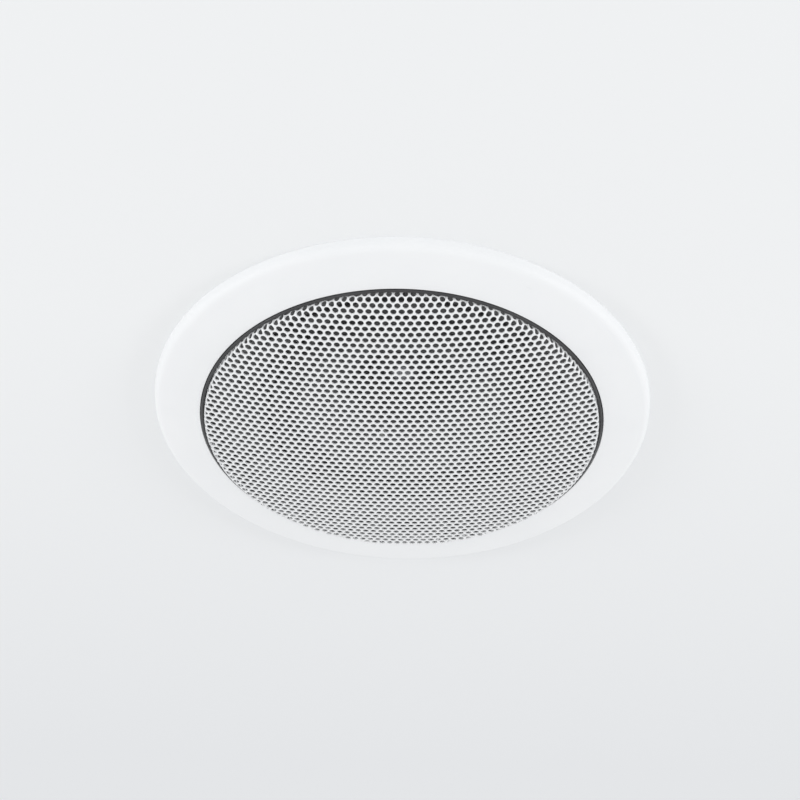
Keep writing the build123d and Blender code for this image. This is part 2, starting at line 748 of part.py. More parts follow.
CUP_INSIDE = CUP_BACK - CUP_FLOOR
POLE_TIP_Z = CUP_INSIDE - TWEETER_MAGNET_T

with BuildPart() as tweeter_cup:
    turned(
        (0, CUP_BACK),
        (CUP_R, CUP_BACK),
        (CUP_R, CUP_FRONT),
        (CUP_IN, CUP_FRONT),
        (CUP_IN, CUP_INSIDE),
        (0, CUP_INSIDE),
    )
pieces["tweeter_cup"] = tweeter_cup

TIP_R = TWEETER_COIL_R - TWEETER_GAP

with BuildPart() as tweeter_magnet:
    turned((0, POLE_TIP_Z), (TIP_R, POLE_TIP_Z), (TIP_R, CUP_INSIDE), (0, CUP_INSIDE))
pieces["tweeter_magnet"] = tweeter_magnet

with BuildPart() as tweeter_pole_tip:
    turned(
        (0, POLE_TIP_Z - POLE_TIP_T),
        (TIP_R, POLE_TIP_Z - POLE_TIP_T),
        (TIP_R, POLE_TIP_Z),
        (0, POLE_TIP_Z),
    )
pieces["tweeter_pole_tip"] = tweeter_pole_tip

# Diaphragm: one formed film with its dome, flat edge and coil skirt
FILM_Z = CUP_FRONT - DIAPHRAGM_T
DOME_Z = FILM_Z - DOME_H
COIL_SIDE = TWEETER_COIL_R - DIAPHRAGM_T
DOME_SPHERE = (TWEETER_COIL_R**2 + DOME_H**2) / (2 * DOME_H)
HALF_DOME = TWEETER_COIL_R / 2
HALF_DOME_Z = DOME_Z + DOME_SPHERE - sqrt(DOME_SPHERE**2 - HALF_DOME**2)
FILM_R = CUP_R - DIAPHRAGM_T

with BuildPart() as tweeter_diaphragm:
    with BuildSketch(Plane.XZ):
        with BuildLine():
            front = ThreePointArc((0, DOME_Z), (HALF_DOME, HALF_DOME_Z), (TWEETER_COIL_R, FILM_Z))
            rear = ThreePointArc(
                (0, DOME_Z + DIAPHRAGM_T),
                (HALF_DOME, HALF_DOME_Z + DIAPHRAGM_T),
                (COIL_SIDE, CUP_FRONT),
            )
            Polyline(
                front @ 1,
                (FILM_R, FILM_Z),
                (FILM_R, CUP_FRONT),
                (TWEETER_COIL_R, CUP_FRONT),
                (TWEETER_COIL_R, CUP_FRONT + TWEETER_COIL_H),
                (COIL_SIDE, CUP_FRONT + TWEETER_COIL_H),
                rear @ 1,
            )
            Line(rear @ 0, front @ 0)
        make_face()
    revolve(axis=Axis.Z)
pieces["tweeter_diaphragm"] = tweeter_diaphragm

with BuildPart() as tweeter_faceplate:
    turned(
        (TWEETER_COIL_R + FACE_LAP, FILM_Z),
        (TWEETER_COIL_R + FACE_LAP + FACE_T, FILM_Z - FACE_T),
        (CUP_R, FILM_Z - FACE_T),
        (CUP_R + FACE_T / 2, FILM_Z - FACE_T / 2),
        (CUP_R + FACE_T / 2, FILM_Z),
    )
pieces["tweeter_faceplate"] = tweeter_faceplate

# Crossover tray on the back plate
NUT_HOLE_R = NUT_R + NUT_ROOM
TRAY_TOP = BOARD_TOP + TRAY_LIP

with BuildPart() as crossover_tray:
    with BuildSketch(Plane.XY.offset(BACK_Z)):
        RectangleRounded(TRAY_L, TRAY_W, TRAY_CORNER)
    extrude(amount=TRAY_TOP - BACK_Z)
    with BuildSketch(Plane.XY.offset(FLOOR_Z)):
        RectangleRounded(TRAY_L - 2 * TRAY_WALL, TRAY_W - 2 * TRAY_WALL, TRAY_CORNER - TRAY_WALL)
    extrude(amount=TRAY_TOP - FLOOR_Z, mode=Mode.SUBTRACT)
    with Locations((0, 0, FLOOR_Z)):
        with GridLocations(2 * BOARD_SCREW_X, 2 * BOARD_SCREW_Y, 2, 2):
            Cylinder(TRAY_POST_R, TRAY_POST_H, align=UP)
    with Locations((0, 0, BOARD_Z)):
        with GridLocations(2 * BOARD_SCREW_X, 2 * BOARD_SCREW_Y, 2, 2):
            Cylinder(
                SMALL_SCREW_R + THREAD_GAP,
                SMALL_SCREW_L - BOARD_T + SCREW_CLEARANCE,
                align=DOWN,
                mode=Mode.SUBTRACT,
            )
    with Locations((0, 0, BACK_Z)):
        Cylinder(NUT_HOLE_R, TRAY_FLOOR, align=UP, mode=Mode.SUBTRACT)
        with Locations((-TRAY_SCREW_X, 0), (TRAY_SCREW_X, 0)):
            Cylinder(TRAY_SCREW_R + SCREW_CLEARANCE, TRAY_FLOOR, align=UP, mode=Mode.SUBTRACT)
    with Locations(
        Location((-EAR_X, -TRAY_W / 2, EAR_SCREW_Z), (-90, 0, 0)),
        Location((EAR_X, -TRAY_W / 2, EAR_SCREW_Z), (-90, 0, 0)),
    ):
        Cylinder(SMALL_SCREW_R + THREAD_GAP, TRAY_WALL, align=UP, mode=Mode.SUBTRACT)
pieces["crossover_tray"] = crossover_tray

with BuildPart() as tray_screws:
    with Locations(
        Location((-TRAY_SCREW_X, 0, FLOOR_Z), (180, 0, 0)),
        Location((TRAY_SCREW_X, 0, FLOOR_Z), (180, 0, 0)),
    ):
        screw(TRAY_HEAD_R, TRAY_HEAD_H, TRAY_SCREW_R, TRAY_SCREW_L)
pieces["tray_screws"] = tray_screws

with BuildPart() as crossover_board:
    with BuildSketch(Plane.XY.offset(BOARD_Z)):
        RectangleRounded(BOARD_L, BOARD_W, TRAY_CORNER - TRAY_WALL)
    extrude(amount=BOARD_T)
    with Locations((0, 0, BOARD_Z)):
        with GridLocations(2 * BOARD_SCREW_X, 2 * BOARD_SCREW_Y, 2, 2):
            Cylinder(SMALL_SCREW_R + SCREW_CLEARANCE, BOARD_T, align=UP, mode=Mode.SUBTRACT)
pieces["crossover_board"] = crossover_board

with BuildPart() as board_screws:
    with Locations(Location((0, 0, BOARD_TOP), (180, 0, 0))):
        with GridLocations(2 * BOARD_SCREW_X, 2 * BOARD_SCREW_Y, 2, 2):
            screw(SMALL_HEAD_R, SMALL_HEAD_H, SMALL_SCREW_R, SMALL_SCREW_L)
pieces["board_screws"] = board_screws

# Crossover parts, standing on the board
PART_Z = BOARD_TOP + PART_GAP
COIL_X = -BOARD_L / 2 + PART_EDGE + BOBBIN_R
COIL_Y = BOARD_W / 2 - PART_EDGE - BOBBIN_R
RIGHT_X = COIL_X + BOBBIN_R + PART_EDGE
CAPACITOR_L = BOARD_L / 2 - 2 * PART_EDGE - RIGHT_X
CAPACITOR_Z = PART_Z + CAPACITOR_R
RESISTOR_L = BOARD_SCREW_X - SMALL_HEAD_R - RESISTOR_TO_SCREW - RIGHT_X
RESISTOR_Y = -BOARD_W / 2 + PART_EDGE + RESISTOR_W / 2


def leg(x, y, z, out):
    """Adds a wire leg: out of an end face at (x, y, z) along X, then bent down to the board."""
    with BuildLine() as wire:
        FilletPolyline((x, y, z), (x + out, y, z), (x + out, y, BOARD_TOP), radius=LEG_BEND)
    with BuildSketch(Plane((x, y, z), z_dir=(out, 0, 0))) as wire_section:
        Circle(LEG_R)
    sweep(wire_section.sketch, path=wire.line)


with BuildPart() as inductor_bobbin:
    with Locations((COIL_X, COIL_Y, PART_Z)):
        Cylinder(BOBBIN_R, BOBBIN_FLANGE, align=UP)
        Cylinder(BOBBIN_CORE_R, BOBBIN_H, align=UP)
    with Locations((COIL_X, COIL_Y, PART_Z + BOBBIN_H)):
        Cylinder(BOBBIN_R, BOBBIN_FLANGE, align=DOWN)
        Cylinder(BOBBIN_BORE_R, BOBBIN_H, align=DOWN, mode=Mode.SUBTRACT)
pieces["inductor_bobbin"] = inductor_bobbin

with BuildPart() as inductor_winding:
    with Locations((COIL_X, COIL_Y, PART_Z + BOBBIN_FLANGE)):
        Cylinder(BOBBIN_R - WINDING_INSET, BOBBIN_H - 2 * BOBBIN_FLANGE, align=UP)
        Cylinder(
            BOBBIN_CORE_R + GLUE_GAP,
            BOBBIN_H - 2 * BOBBIN_FLANGE,
            align=UP,
            mode=Mode.SUBTRACT,
        )
pieces["inductor_winding"] = inductor_winding

with BuildPart() as capacitor:
    with Locations((RIGHT_X + CAPACITOR_L / 2, COIL_Y, CAPACITOR_Z)):
        Cylinder(CAPACITOR_R, CAPACITOR_L, rotation=(0, 90, 0))
    fillet(capacitor.edges().filter_by(GeomType.CIRCLE), radius=CAPACITOR_R / 6)
    leg(RIGHT_X, COIL_Y, CAPACITOR_Z, -LEG_OUT)
    leg(RIGHT_X + CAPACITOR_L, COIL_Y, CAPACITOR_Z, LEG_OUT)
pieces["capacitor"] = capacitor

with BuildPart() as resistor:
    with Locations((RIGHT_X + RESISTOR_L / 2, RESISTOR_Y, PART_Z)):
        Box(RESISTOR_L, RESISTOR_W, RESISTOR_H, align=UP)
    chamfer(resistor.edges().group_by(Axis.Z)[-1], length=RESISTOR_H / 10)
    leg(RIGHT_X, RESISTOR_Y, PART_Z + RESISTOR_H / 2, -LEG_OUT)
    leg(RIGHT_X + RESISTOR_L, RESISTOR_Y, PART_Z + RESISTOR_H / 2, LEG_OUT)
pieces["resistor"] = resistor

with BuildPart() as film_capacitor:
    with Locations((COIL_X, -BOARD_W / 2 + PART_EDGE + FILM_W / 2, PART_Z)):
        Box(FILM_L, FILM_W, FILM_H, align=UP)
    chamfer(film_capacitor.edges().group_by(Axis.Z)[-1], length=FILM_W / 10)
pieces["film_capacitor"] = film_capacitor

# Spring terminal on the tray's front wall: housing, its two screws and the levers
LEVERS = {"red_lever": -LEVER_X, "black_lever": LEVER_X}

with BuildPart() as terminal_housing:
    with Locations((0, HOUSING_Y, HOUSING_Z)):
        Box(HOUSING_L, HOUSING_D, HOUSING_H, align=INWARD)
    fillet(terminal_housing.faces().sort_by(Axis.Y)[0].edges(), radius=HOUSING_ROUND)
    with Locations((0, -TRAY_W / 2 - EAR_T, HOUSING_Z)):
        Box(HOUSING_L + 2 * EAR_L, EAR_T, EAR_H, align=INWARD)
    with Locations(*[(x, HOUSING_Y, POCKET_Z) for x in LEVERS.values()]):
        Box(POCKET_W, POCKET_D, POCKET_H, align=INWARD, mode=Mode.SUBTRACT)
    with Locations(*[(x, HOUSING_Y, HOUSING_Z + WIRE_UP) for x in LEVERS.values()]):
        Box(WIRE_HOLE, WIRE_DEPTH, WIRE_HOLE, align=INWARD, mode=Mode.SUBTRACT)
    with Locations(*[(x, PIVOT_Y, PIVOT_Z) for x in LEVERS.values()]):
        Cylinder(
            PIN_R + PIN_GAP,
            POCKET_W + 2 * (PIN_L + PIN_GAP),
            rotation=(0, 90, 0),
            mode=Mode.SUBTRACT,
        )
    with Locations(
        Location((-EAR_X, -TRAY_W / 2, EAR_SCREW_Z), (90, 0, 0)),
        Location((EAR_X, -TRAY_W / 2, EAR_SCREW_Z), (90, 0, 0)),
    ):
        Cylinder(SMALL_SCREW_R + SCREW_CLEARANCE, EAR_T, align=UP, mode=Mode.SUBTRACT)
pieces["terminal_housing"] = terminal_housing

with BuildPart() as terminal_screws:
    with Locations(
        Location((-EAR_X, -TRAY_W / 2 - EAR_T, EAR_SCREW_Z), (-90, 0, 0)),
        Location((EAR_X, -TRAY_W / 2 - EAR_T, EAR_SCREW_Z), (-90, 0, 0)),
    ):
        screw(SMALL_HEAD_R, SMALL_HEAD_H, SMALL_SCREW_R, EAR_T + TRAY_WALL - SCREW_CLEARANCE)
pieces["terminal_screws"] = terminal_screws

for name, x in LEVERS.items():
    with BuildPart() as lever:
        with BuildSketch(Plane((x, PIVOT_Y, PIVOT_Z), x_dir=(0, 1, 0), z_dir=(1, 0, 0))):
            with BuildLine():
                Polyline(
                    (-LEVER_T / 2, -LEVER_DOWN),
                    (LEVER_T / 2, -LEVER_DOWN),
                    (LEVER_T / 2, LEVER_UP),
                    (-PIVOT_IN - TAB_OUT, LEVER_UP),
                    (-PIVOT_IN - TAB_OUT, LEVER_UP - TAB_T),
                    (-LEVER_T / 2, LEVER_UP - TAB_T),
                    close=True,
                )
            make_face()
        extrude(amount=LEVER_W / 2, both=True)
        fillet(lever.edges().filter_by(Axis.Z).group_by(Axis.Y)[0], radius=TAB_ROUND)
        with Locations((x, PIVOT_Y, PIVOT_Z)):
            Cylinder(PIN_R, POCKET_W + 2 * PIN_L, rotation=(0, 90, 0))
    pieces[name] = lever

# Ceiling clamps, stowed: the screw turns in its tower and carries the dog
for n, angle in enumerate(CLAMP_ANGLES, 1):
    with BuildPart() as clamp_screw:
        with Locations(clamp_centre(angle, PLATE_FRONT)):
            screw(
                CLAMP_HEAD_R,
                CLAMP_HEAD_H,
                CLAMP_SCREW_R,
                CAP_Z + CAP_T - SCREW_TAIL - PLATE_FRONT,
            )
    pieces[f"clamp_screw_{n}"] = clamp_screw

    arm = (sin(radians(angle)), -cos(radians(angle)), 0)
    side = (-cos(radians(angle)), -sin(radians(angle)), 0)
    with BuildPart() as clamp_dog:
        with Locations(clamp_centre(angle, DOG_Z)):
            Cylinder(HUB_R, HUB_H, align=UP)
        with BuildSketch(Plane(clamp_centre(angle, DOG_Z), x_dir=arm, z_dir=side)):
            with BuildLine():
                Polyline(
                    (0, 0),
                    (HUB_R, 0),
                    (HUB_R + DOG_SOLE, DOG_SOLE),
                    (DOG_REACH - DOG_PAD - DOG_SOLE, DOG_SOLE),
                    (DOG_REACH - DOG_PAD, 0),
                    (DOG_REACH, 0),
                    (DOG_REACH, DOG_TIP_H),
                    (HUB_R + DOG_SOLE, HUB_H),
                    (0, HUB_H),
                    close=True,
                )
            make_face()
        extrude(amount=DOG_W / 2, both=True)
        tip = Vector(*clamp_centre(angle, DOG_Z)) + Vector(*arm) * DOG_REACH
        fillet(clamp_dog.edges().filter_by(Axis.Z).sort_by_distance(tip)[:2], radius=DOG_TIP_ROUND)
        with Locations(clamp_centre(angle, DOG_Z)):
            Cylinder(CLAMP_SCREW_R + DOG_BORE_GAP, HUB_H, align=UP, mode=Mode.SUBTRACT)
    pieces[f"clamp_dog_{n}"] = clamp_dog

os.makedirs("parts", exist_ok=True)
for name, piece in pieces.items():
    piece.part.label = name
    export_step(piece.part, f"parts/{name}.step")
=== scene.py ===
import json
from math import cos, pi, radians, sin

import bmesh
import bpy
import numpy as np
from mathutils import Matrix, Vector


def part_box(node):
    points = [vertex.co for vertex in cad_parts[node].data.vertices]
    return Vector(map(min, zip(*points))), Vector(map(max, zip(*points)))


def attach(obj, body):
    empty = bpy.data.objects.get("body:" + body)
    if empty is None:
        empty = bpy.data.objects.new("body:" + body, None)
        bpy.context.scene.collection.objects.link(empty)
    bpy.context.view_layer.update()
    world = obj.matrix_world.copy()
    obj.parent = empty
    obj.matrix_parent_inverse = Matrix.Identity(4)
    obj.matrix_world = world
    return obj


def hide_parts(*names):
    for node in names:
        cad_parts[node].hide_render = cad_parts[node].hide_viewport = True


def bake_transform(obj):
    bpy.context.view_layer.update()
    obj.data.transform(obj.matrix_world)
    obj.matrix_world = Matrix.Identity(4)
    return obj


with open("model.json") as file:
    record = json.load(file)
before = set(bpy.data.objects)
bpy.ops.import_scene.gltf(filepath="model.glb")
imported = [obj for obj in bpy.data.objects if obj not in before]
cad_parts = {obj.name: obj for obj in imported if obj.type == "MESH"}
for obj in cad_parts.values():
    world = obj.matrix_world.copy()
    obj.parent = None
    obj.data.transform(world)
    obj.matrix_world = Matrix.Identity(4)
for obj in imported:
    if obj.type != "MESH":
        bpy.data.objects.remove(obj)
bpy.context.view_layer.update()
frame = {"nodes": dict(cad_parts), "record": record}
node = frame["nodes"]
MM = 0.001
MICRONS_PER_MM = 1000
SAME_POINT = 1e-6


# Meshes

def unit(vectors):
    """Vectors divided by their own length."""
    return vectors / np.linalg.norm(vectors, axis=-1, keepdims=True)


def grid_quads(rows, columns, wrap_rows=True, wrap_columns=True):
    """Quads of a grid: each joins a point, its neighbour in the row, and the two below them."""
    index = np.arange(rows * columns).reshape(rows, columns)
    right = np.roll(index, -1, 1)
    below = np.roll(index, -1, 0)
    across = np.roll(below, -1, 1)
    quads = np.stack([index, right, across, below], -1)
    quads = quads[: rows if wrap_rows else rows - 1, : columns if wrap_columns else columns - 1]
    return quads.reshape(-1, 4)


def rounded_outline(corners, radii, arc_points):
    """Closed outline with arcs for corners.

    An arc's centre lies on the corner's bisector, radius / sin(half angle) away. The arc itself is
    (sin((1 - t) turn) first + sin(t turn) last) / sin(turn), between the points where it meets the sides.
    """
    corner = np.array(corners, float)
    radius = np.array(radii, float)[:, None]
    back = unit(np.roll(corner, 1, 0) - corner)
    ahead = unit(np.roll(corner, -1, 0) - corner)
    half = np.arccos(np.clip((back * ahead).sum(-1, keepdims=True), -1, 1)) / 2
    centre = corner + unit(back + ahead) * radius / np.sin(half)
    first = corner + back * radius / np.tan(half) - centre
    last = corner + ahead * radius / np.tan(half) - centre
    turn = (pi - 2 * half)[:, None]
    share = np.linspace(0, 1, arc_points)[None, :, None]
    arc = np.sin((1 - share) * turn) * first[:, None] + np.sin(share * turn) * last[:, None]
    return (centre[:, None] + arc / np.sin(turn)).reshape(-1, 2)


def carried_round(outline, segments, centre=(0, 0, 0)):
    """Outline of (radius, height) carried round an upright axis through a centre.

    A point is centre + (radius cos(angle), radius sin(angle), height).
    """
    angle = np.linspace(0, 2 * pi, segments, endpoint=False)
    radius, height = outline[:, :1], outline[:, 1:]
    ring = np.stack([radius * np.cos(angle), radius * np.sin(angle), height + 0 * angle], -1)
    return (np.array(centre) + ring).reshape(-1, 3), grid_quads(len(outline), segments)


def joined(*shells):
    """Several (points, quads) shells as one pair of arrays: later quads are shifted past earlier points."""
    starts = np.cumsum([0] + [len(points) for points, quads in shells[:-1]])
    return (
        np.concatenate([points for points, quads in shells]),
        np.concatenate([quads + start for (points, quads), start in zip(shells, starts)]),
    )


def sheet_sector(front, back, first, last, cuts=6):
    """Sector of a turned sheet: two profiles of (radius, height) carried between two angles, edges walled."""
    angle = np.linspace(first, last, cuts + 1)
    profile = np.stack([front, back])
    radius, height = profile[..., 0][..., None], profile[..., 1][..., None]
    points = np.stack([radius * np.cos(angle), radius * np.sin(angle), height + 0 * angle], -1)
    index = np.arange(points.size // 3).reshape(points.shape[:3])
    faces = grid_quads(*index.shape[1:], wrap_rows=False, wrap_columns=False)
    edges = [index[:, 0], index[:, -1], index[:, :, 0], index[:, :, -1]]
    walls = [np.stack([e[0, :-1], e[0, 1:], e[1, 1:], e[1, :-1]], -1) for e in edges]
    return points.reshape(-1, 3), np.concatenate([faces, faces[:, ::-1] + index[0].size, *walls])


def shell_piece(name, shell, finish, body="frame", stands_for=(), crease=35):
    """Piece of a closed shell in millimetres: doubles merged, faces outward, smooth below the crease."""
    points, quads = shell
    mesh = bpy.data.meshes.new(name)
    mesh.from_pydata((points * MM).tolist(), [], quads.tolist())
    work = bmesh.new()
    work.from_mesh(mesh)
    bmesh.ops.remove_doubles(work, verts=work.verts, dist=SAME_POINT)
    bmesh.ops.recalc_face_normals(work, faces=work.faces)
    work.to_mesh(mesh)
    work.free()
    mesh.shade_smooth()
    mesh.set_sharp_from_angle(angle=radians(crease))
    mesh.materials.append(finish)
    piece = bpy.data.objects.new(name, mesh)
    bpy.context.scene.collection.objects.link(piece)
    if body:
        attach(piece, body)
    if stands_for:
        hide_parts(*stands_for)
    return piece


# Finishes

# Radians of a wave texture's phase for each unit of length, at a scale of one
WAVE_RATE = 20


def new_finish(name, **sockets):
    """Starts a node material; values that are the same all over go on the shader's own sockets."""
    material = bpy.data.materials.new(name)
    material.use_nodes = True
    tree = material.node_tree
    shader = tree.nodes["Principled BSDF"]
    for socket, value in sockets.items():
        shader.inputs[socket.replace("_", " ")].default_value = value
    place = tree.nodes.new("ShaderNodeTexCoord").outputs["Object"]
    return material, tree, shader, place


def grain(tree, place, size, detail, stretch=(1, 1, 1)):
    """Cloudy noise whose patches are about size metres across, stretched along the axes."""
    mapping = tree.nodes.new("ShaderNodeMapping")
    mapping.inputs["Scale"].default_value = [1 / (size * s) for s in stretch]
    noise = tree.nodes.new("ShaderNodeTexNoise")
    noise.inputs["Scale"].default_value = 1.0
    noise.inputs["Detail"].default_value = detail
    tree.links.new(place, mapping.inputs["Vector"])
    tree.links.new(mapping.outputs["Vector"], noise.inputs["Vector"])
    return noise.outputs["Fac"]


def lines(tree, place, pitch, kind, along, wander):
    """Even lines a pitch apart in metres: bands along an axis, or rings round it."""
    wave = tree.nodes.new("ShaderNodeTexWave")
    wave.wave_type = kind
    if kind == "BANDS":
        wave.bands_direction = along
    else:
        wave.rings_direction = along
    wave.inputs["Scale"].default_value = 2 * pi / (WAVE_RATE * pitch)
    wave.inputs["Distortion"].default_value = wander
    wave.inputs["Detail"].default_value = 1.0
    tree.links.new(place, wave.inputs["Vector"])
    return wave.outputs["Fac"]


def reach(tree, place, full):
    """Distance from the Z axis, as a share of a full radius in metres."""
    flat = tree.nodes.new("ShaderNodeMapping")
    flat.inputs["Scale"].default_value = (1 / full, 1 / full, 0)
    length = tree.nodes.new("ShaderNodeVectorMath")
    length.operation = "LENGTH"
    tree.links.new(place, flat.inputs["Vector"])
    tree.links.new(flat.outputs["Vector"], length.inputs[0])
    return length.outputs["Value"]


def steps(tree, amount, stops):
    """Colour or grey by amount: a ramp through (position, colour) stops."""
    ramp = tree.nodes.new("ShaderNodeValToRGB")
    elements = ramp.color_ramp.elements
    while len(elements) < len(stops):
        elements.new(0.5)
    for element, (position, colour) in zip(elements, stops):
        element.position = position
        element.color = (*colour, 1) if hasattr(colour, "__len__") else (colour, colour, colour, 1)
    tree.links.new(amount, ramp.inputs["Fac"])
    return ramp.outputs["Color"]


def mixed(tree, amount, first, second):
    """Two colours mixed by an amount, which may vary over the surface."""
    mix = tree.nodes.new("ShaderNodeMix")
    mix.data_type = "RGBA"
    if isinstance(amount, float):
        mix.inputs["Factor"].default_value = amount
    else:
        tree.links.new(amount, mix.inputs["Factor"])
    tree.links.new(first, mix.inputs["A"])
    tree.links.new(second, mix.inputs["B"])
    return mix.outputs["Result"]


def relief(tree, shader, height, depth, edge=0.0):
    """Surface relief of a depth in metres, over edges that look rounded to a radius in metres."""
    bump = tree.nodes.new("ShaderNodeBump")
    bump.inputs["Strength"].default_value = 1.0
    bump.inputs["Distance"].default_value = depth
    tree.links.new(height, bump.inputs["Height"])
    if edge:
        bevel = tree.nodes.new("ShaderNodeBevel")
        bevel.samples = 6
        bevel.inputs["Radius"].default_value = edge
        tree.links.new(bevel.outputs["Normal"], bump.inputs["Normal"])
    tree.links.new(bump.outputs["Normal"], shader.inputs["Normal"])


def moulded(name, dark, light, gloss=(0.42, 0.56), grit=0.0004, depth=6e-6, edge=0.0003, mottle=0.02):
    """Injection-moulded plastic: faint mottling of the colour, fine spark texture, softened edges."""
    material, tree, shader, place = new_finish(name, Specular_IOR_Level=0.45)
    colour = steps(tree, grain(tree, place, mottle, 4), [(0.32, dark), (0.68, light)])
    tree.links.new(colour, shader.inputs["Base Color"])
    fine = grain(tree, place, grit, 2)
    rough = steps(tree, grain(tree, place, mottle / 3, 3), [(0.3, gloss[0]), (0.7, gloss[1])])
    tree.links.new(rough, shader.inputs["Roughness"])
    relief(tree, shader, fine, depth, edge)
    return material


def powder_coated(name, dark, light, gloss=(0.38, 0.5), peel=0.0011, depth=1.2e-5, edge=0.00012):
    """Baked powder coat on sheet steel: orange-peel relief and soft, slightly uneven sheen."""
    material, tree, shader, place = new_finish(name, Specular_IOR_Level=0.5)
    colour = steps(tree, grain(tree, place, 0.012, 4), [(0.3, dark), (0.7, light)])
    tree.links.new(colour, shader.inputs["Base Color"])
    rough = steps(tree, grain(tree, place, 0.004, 3), [(0.3, gloss[0]), (0.7, gloss[1])])
    tree.links.new(rough, shader.inputs["Roughness"])
    relief(tree, shader, grain(tree, place, peel, 1), depth, edge)
    return material


def plated(name, dull, bright, gloss=(0.24, 0.42), pitch=0.0004, depth=4e-6, edge=0.0003):
    """Plated metal: tool lines under the plating, cloudy passivation and a varying polish."""
    material, tree, shader, place = new_finish(name, Metallic=1.0)
    cloud = grain(tree, place, 0.009, 5)
    tree.links.new(steps(tree, cloud, [(0.3, dull), (0.72, bright)]), shader.inputs["Base Color"])
    rough = steps(tree, grain(tree, place, 0.003, 4), [(0.3, gloss[0]), (0.75, gloss[1])])
    tree.links.new(rough, shader.inputs["Roughness"])
    relief(tree, shader, lines(tree, place, pitch, "RINGS", "Z", 1.5), depth, edge)
    return material


def along_axis(tree, place, axis, low, high):
    """Share of the way from low to high along an axis, in metres."""
    split = tree.nodes.new("ShaderNodeSeparateXYZ")
    span = tree.nodes.new("ShaderNodeMapRange")
    span.inputs["From Min"].default_value = low
    span.inputs["From Max"].default_value = high
    tree.links.new(place, split.inputs["Vector"])
    tree.links.new(split.outputs[axis], span.inputs["Value"])
    return span.outputs["Result"]


def painted_light_moulding(name, lip, painted_light_inside, outside):
    """Black moulding in three tones by height: satin lip, a lighter tone behind the grille, plain behind the
    ceiling. The lighter tone is painted light: it brightens the inside seen through the holes as though more
    light reached it.

    Each tone is a darker and a lighter grey, mixed by a cloud.
    """
    material, tree, shader, place = new_finish(name, Specular_IOR_Level=0.4)
    height = along_axis(tree, place, "Z", -10 * MM, 10 * MM)
    # The middle stops, behind the grille, are painted light: a grey well above the rest of the black
    # moulding, so the inside seen through the holes looks lit.
    low, high = (
        steps(tree, height, [(0.12, edge), (0.2, dry), (0.5, dry), (0.6, plain)])
        for edge, dry, plain in zip(lip, painted_light_inside, outside)
    )
    cloud = steps(tree, grain(tree, place, 0.02, 4), [(0.32, 0.0), (0.68, 1.0)])
    tree.links.new(mixed(tree, cloud, low, high), shader.inputs["Base Color"])
    smooth = steps(tree, height, [(0.12, 0.27), (0.2, 0.46)])
    dry = steps(tree, height, [(0.12, 0.35), (0.2, 0.6)])
    tree.links.new(mixed(tree, cloud, smooth, dry), shader.inputs["Roughness"])
    relief(tree, shader, grain(tree, place, 0.0004, 2), 6e-6, 0.0003)
    return material


def rubbery(name, dark, light):
    """Moulded rubber: matt, faintly bloomed, with a fine pebble."""
    material, tree, shader, place = new_finish(name, Specular_IOR_Level=0.35, Sheen_Weight=0.08)
    colour = steps(tree, grain(tree, place, 0.008, 5), [(0.35, dark), (0.7, light)])
    tree.links.new(colour, shader.inputs["Base Color"])
    rough = steps(tree, grain(tree, place, 0.002, 3), [(0.3, 0.62), (0.7, 0.78)])
    tree.links.new(rough, shader.inputs["Roughness"])
    relief(tree, shader, grain(tree, place, 0.0005, 2), 1.5e-5)
    return material


def foamed(name, dark, light):
    """Die-cut foam gasket: open cells show as small pits, painted darker as painted shade in their hollows.
    """
    material, tree, shader, place = new_finish(name, Specular_IOR_Level=0.2)
    cells = tree.nodes.new("ShaderNodeTexVoronoi")
    cells.inputs["Scale"].default_value = 1600
    tree.links.new(place, cells.inputs["Vector"])
    pits = cells.outputs["Distance"]
    # Painted shade: the colour darkens towards each cell's middle, where its pit lies.
    tree.links.new(steps(tree, pits, [(0.05, dark), (0.5, light)]), shader.inputs["Base Color"])
    rough = steps(tree, pits, [(0.1, 0.95), (0.6, 0.82)])
    tree.links.new(rough, shader.inputs["Roughness"])
    relief(tree, shader, pits, 1.2e-4)
    return material


def formed_cone(name, dark, light, coat):
    """Moulded cone: satin, with faint rings from the mould, a fleck, and a darker tone within about 20 mm of
    the axis, round the neck.
    """
    material, tree, shader, place = new_finish(name, Specular_IOR_Level=0.5, Coat_Weight=0.08)
    ring = lines(tree, place, 0.0011, "RINGS", "Z", 0.3)
    fleck = steps(tree, grain(tree, place, 0.0009, 4), [(0.42, dark), (0.66, light)])
    # coat is the darker tone used within about 20 mm of the axis, and bare is the share of the cone past it.
    neck_tone = steps(tree, grain(tree, place, 0.0015, 3), [(0.3, coat), (0.7, [1.35 * c for c in coat])])
    bare = steps(tree, reach(tree, place, 0.04), [(0.49, 0.0), (0.57, 1.0)])
    tree.links.new(mixed(tree, bare, neck_tone, fleck), shader.inputs["Base Color"])
    tree.links.new(steps(tree, ring, [(0.0, 0.4), (1.0, 0.5)]), shader.inputs["Roughness"])
    relief(tree, shader, ring, 1.6e-5)
    return material


def drawn_film(name, dark, light, edge, painted_highlight_r=0.0042):
    """Formed dome film: satin skin with a slight cloud, painted darker past about 4.2 mm from the middle so
    that only the middle stays light, as a painted highlight.
    """
    material, tree, shader, place = new_finish(name, Specular_IOR_Level=0.6, Metallic=0.15)
    # Painted highlight: outside is the share past about 4.2 mm, where the dome is painted darker, and edge
    # and roll are that darker tone.
    outside = steps(tree, reach(tree, place, 2 * painted_highlight_r), [(0.46, 0.0), (0.54, 1.0)])
    skin = steps(tree, grain(tree, place, 0.0025, 4), [(0.3, dark), (0.7, light)])
    roll = steps(tree, grain(tree, place, 0.0012, 3), [(0.3, edge), (0.7, [1.3 * c for c in edge])])
    tree.links.new(mixed(tree, outside, skin, roll), shader.inputs["Base Color"])
    rough = steps(tree, grain(tree, place, 0.001, 3), [(0.3, 0.3), (0.7, 0.42)])
    tree.links.new(rough, shader.inputs["Roughness"])
    relief(tree, shader, grain(tree, place, 0.0003, 2), 4e-6)
    return material


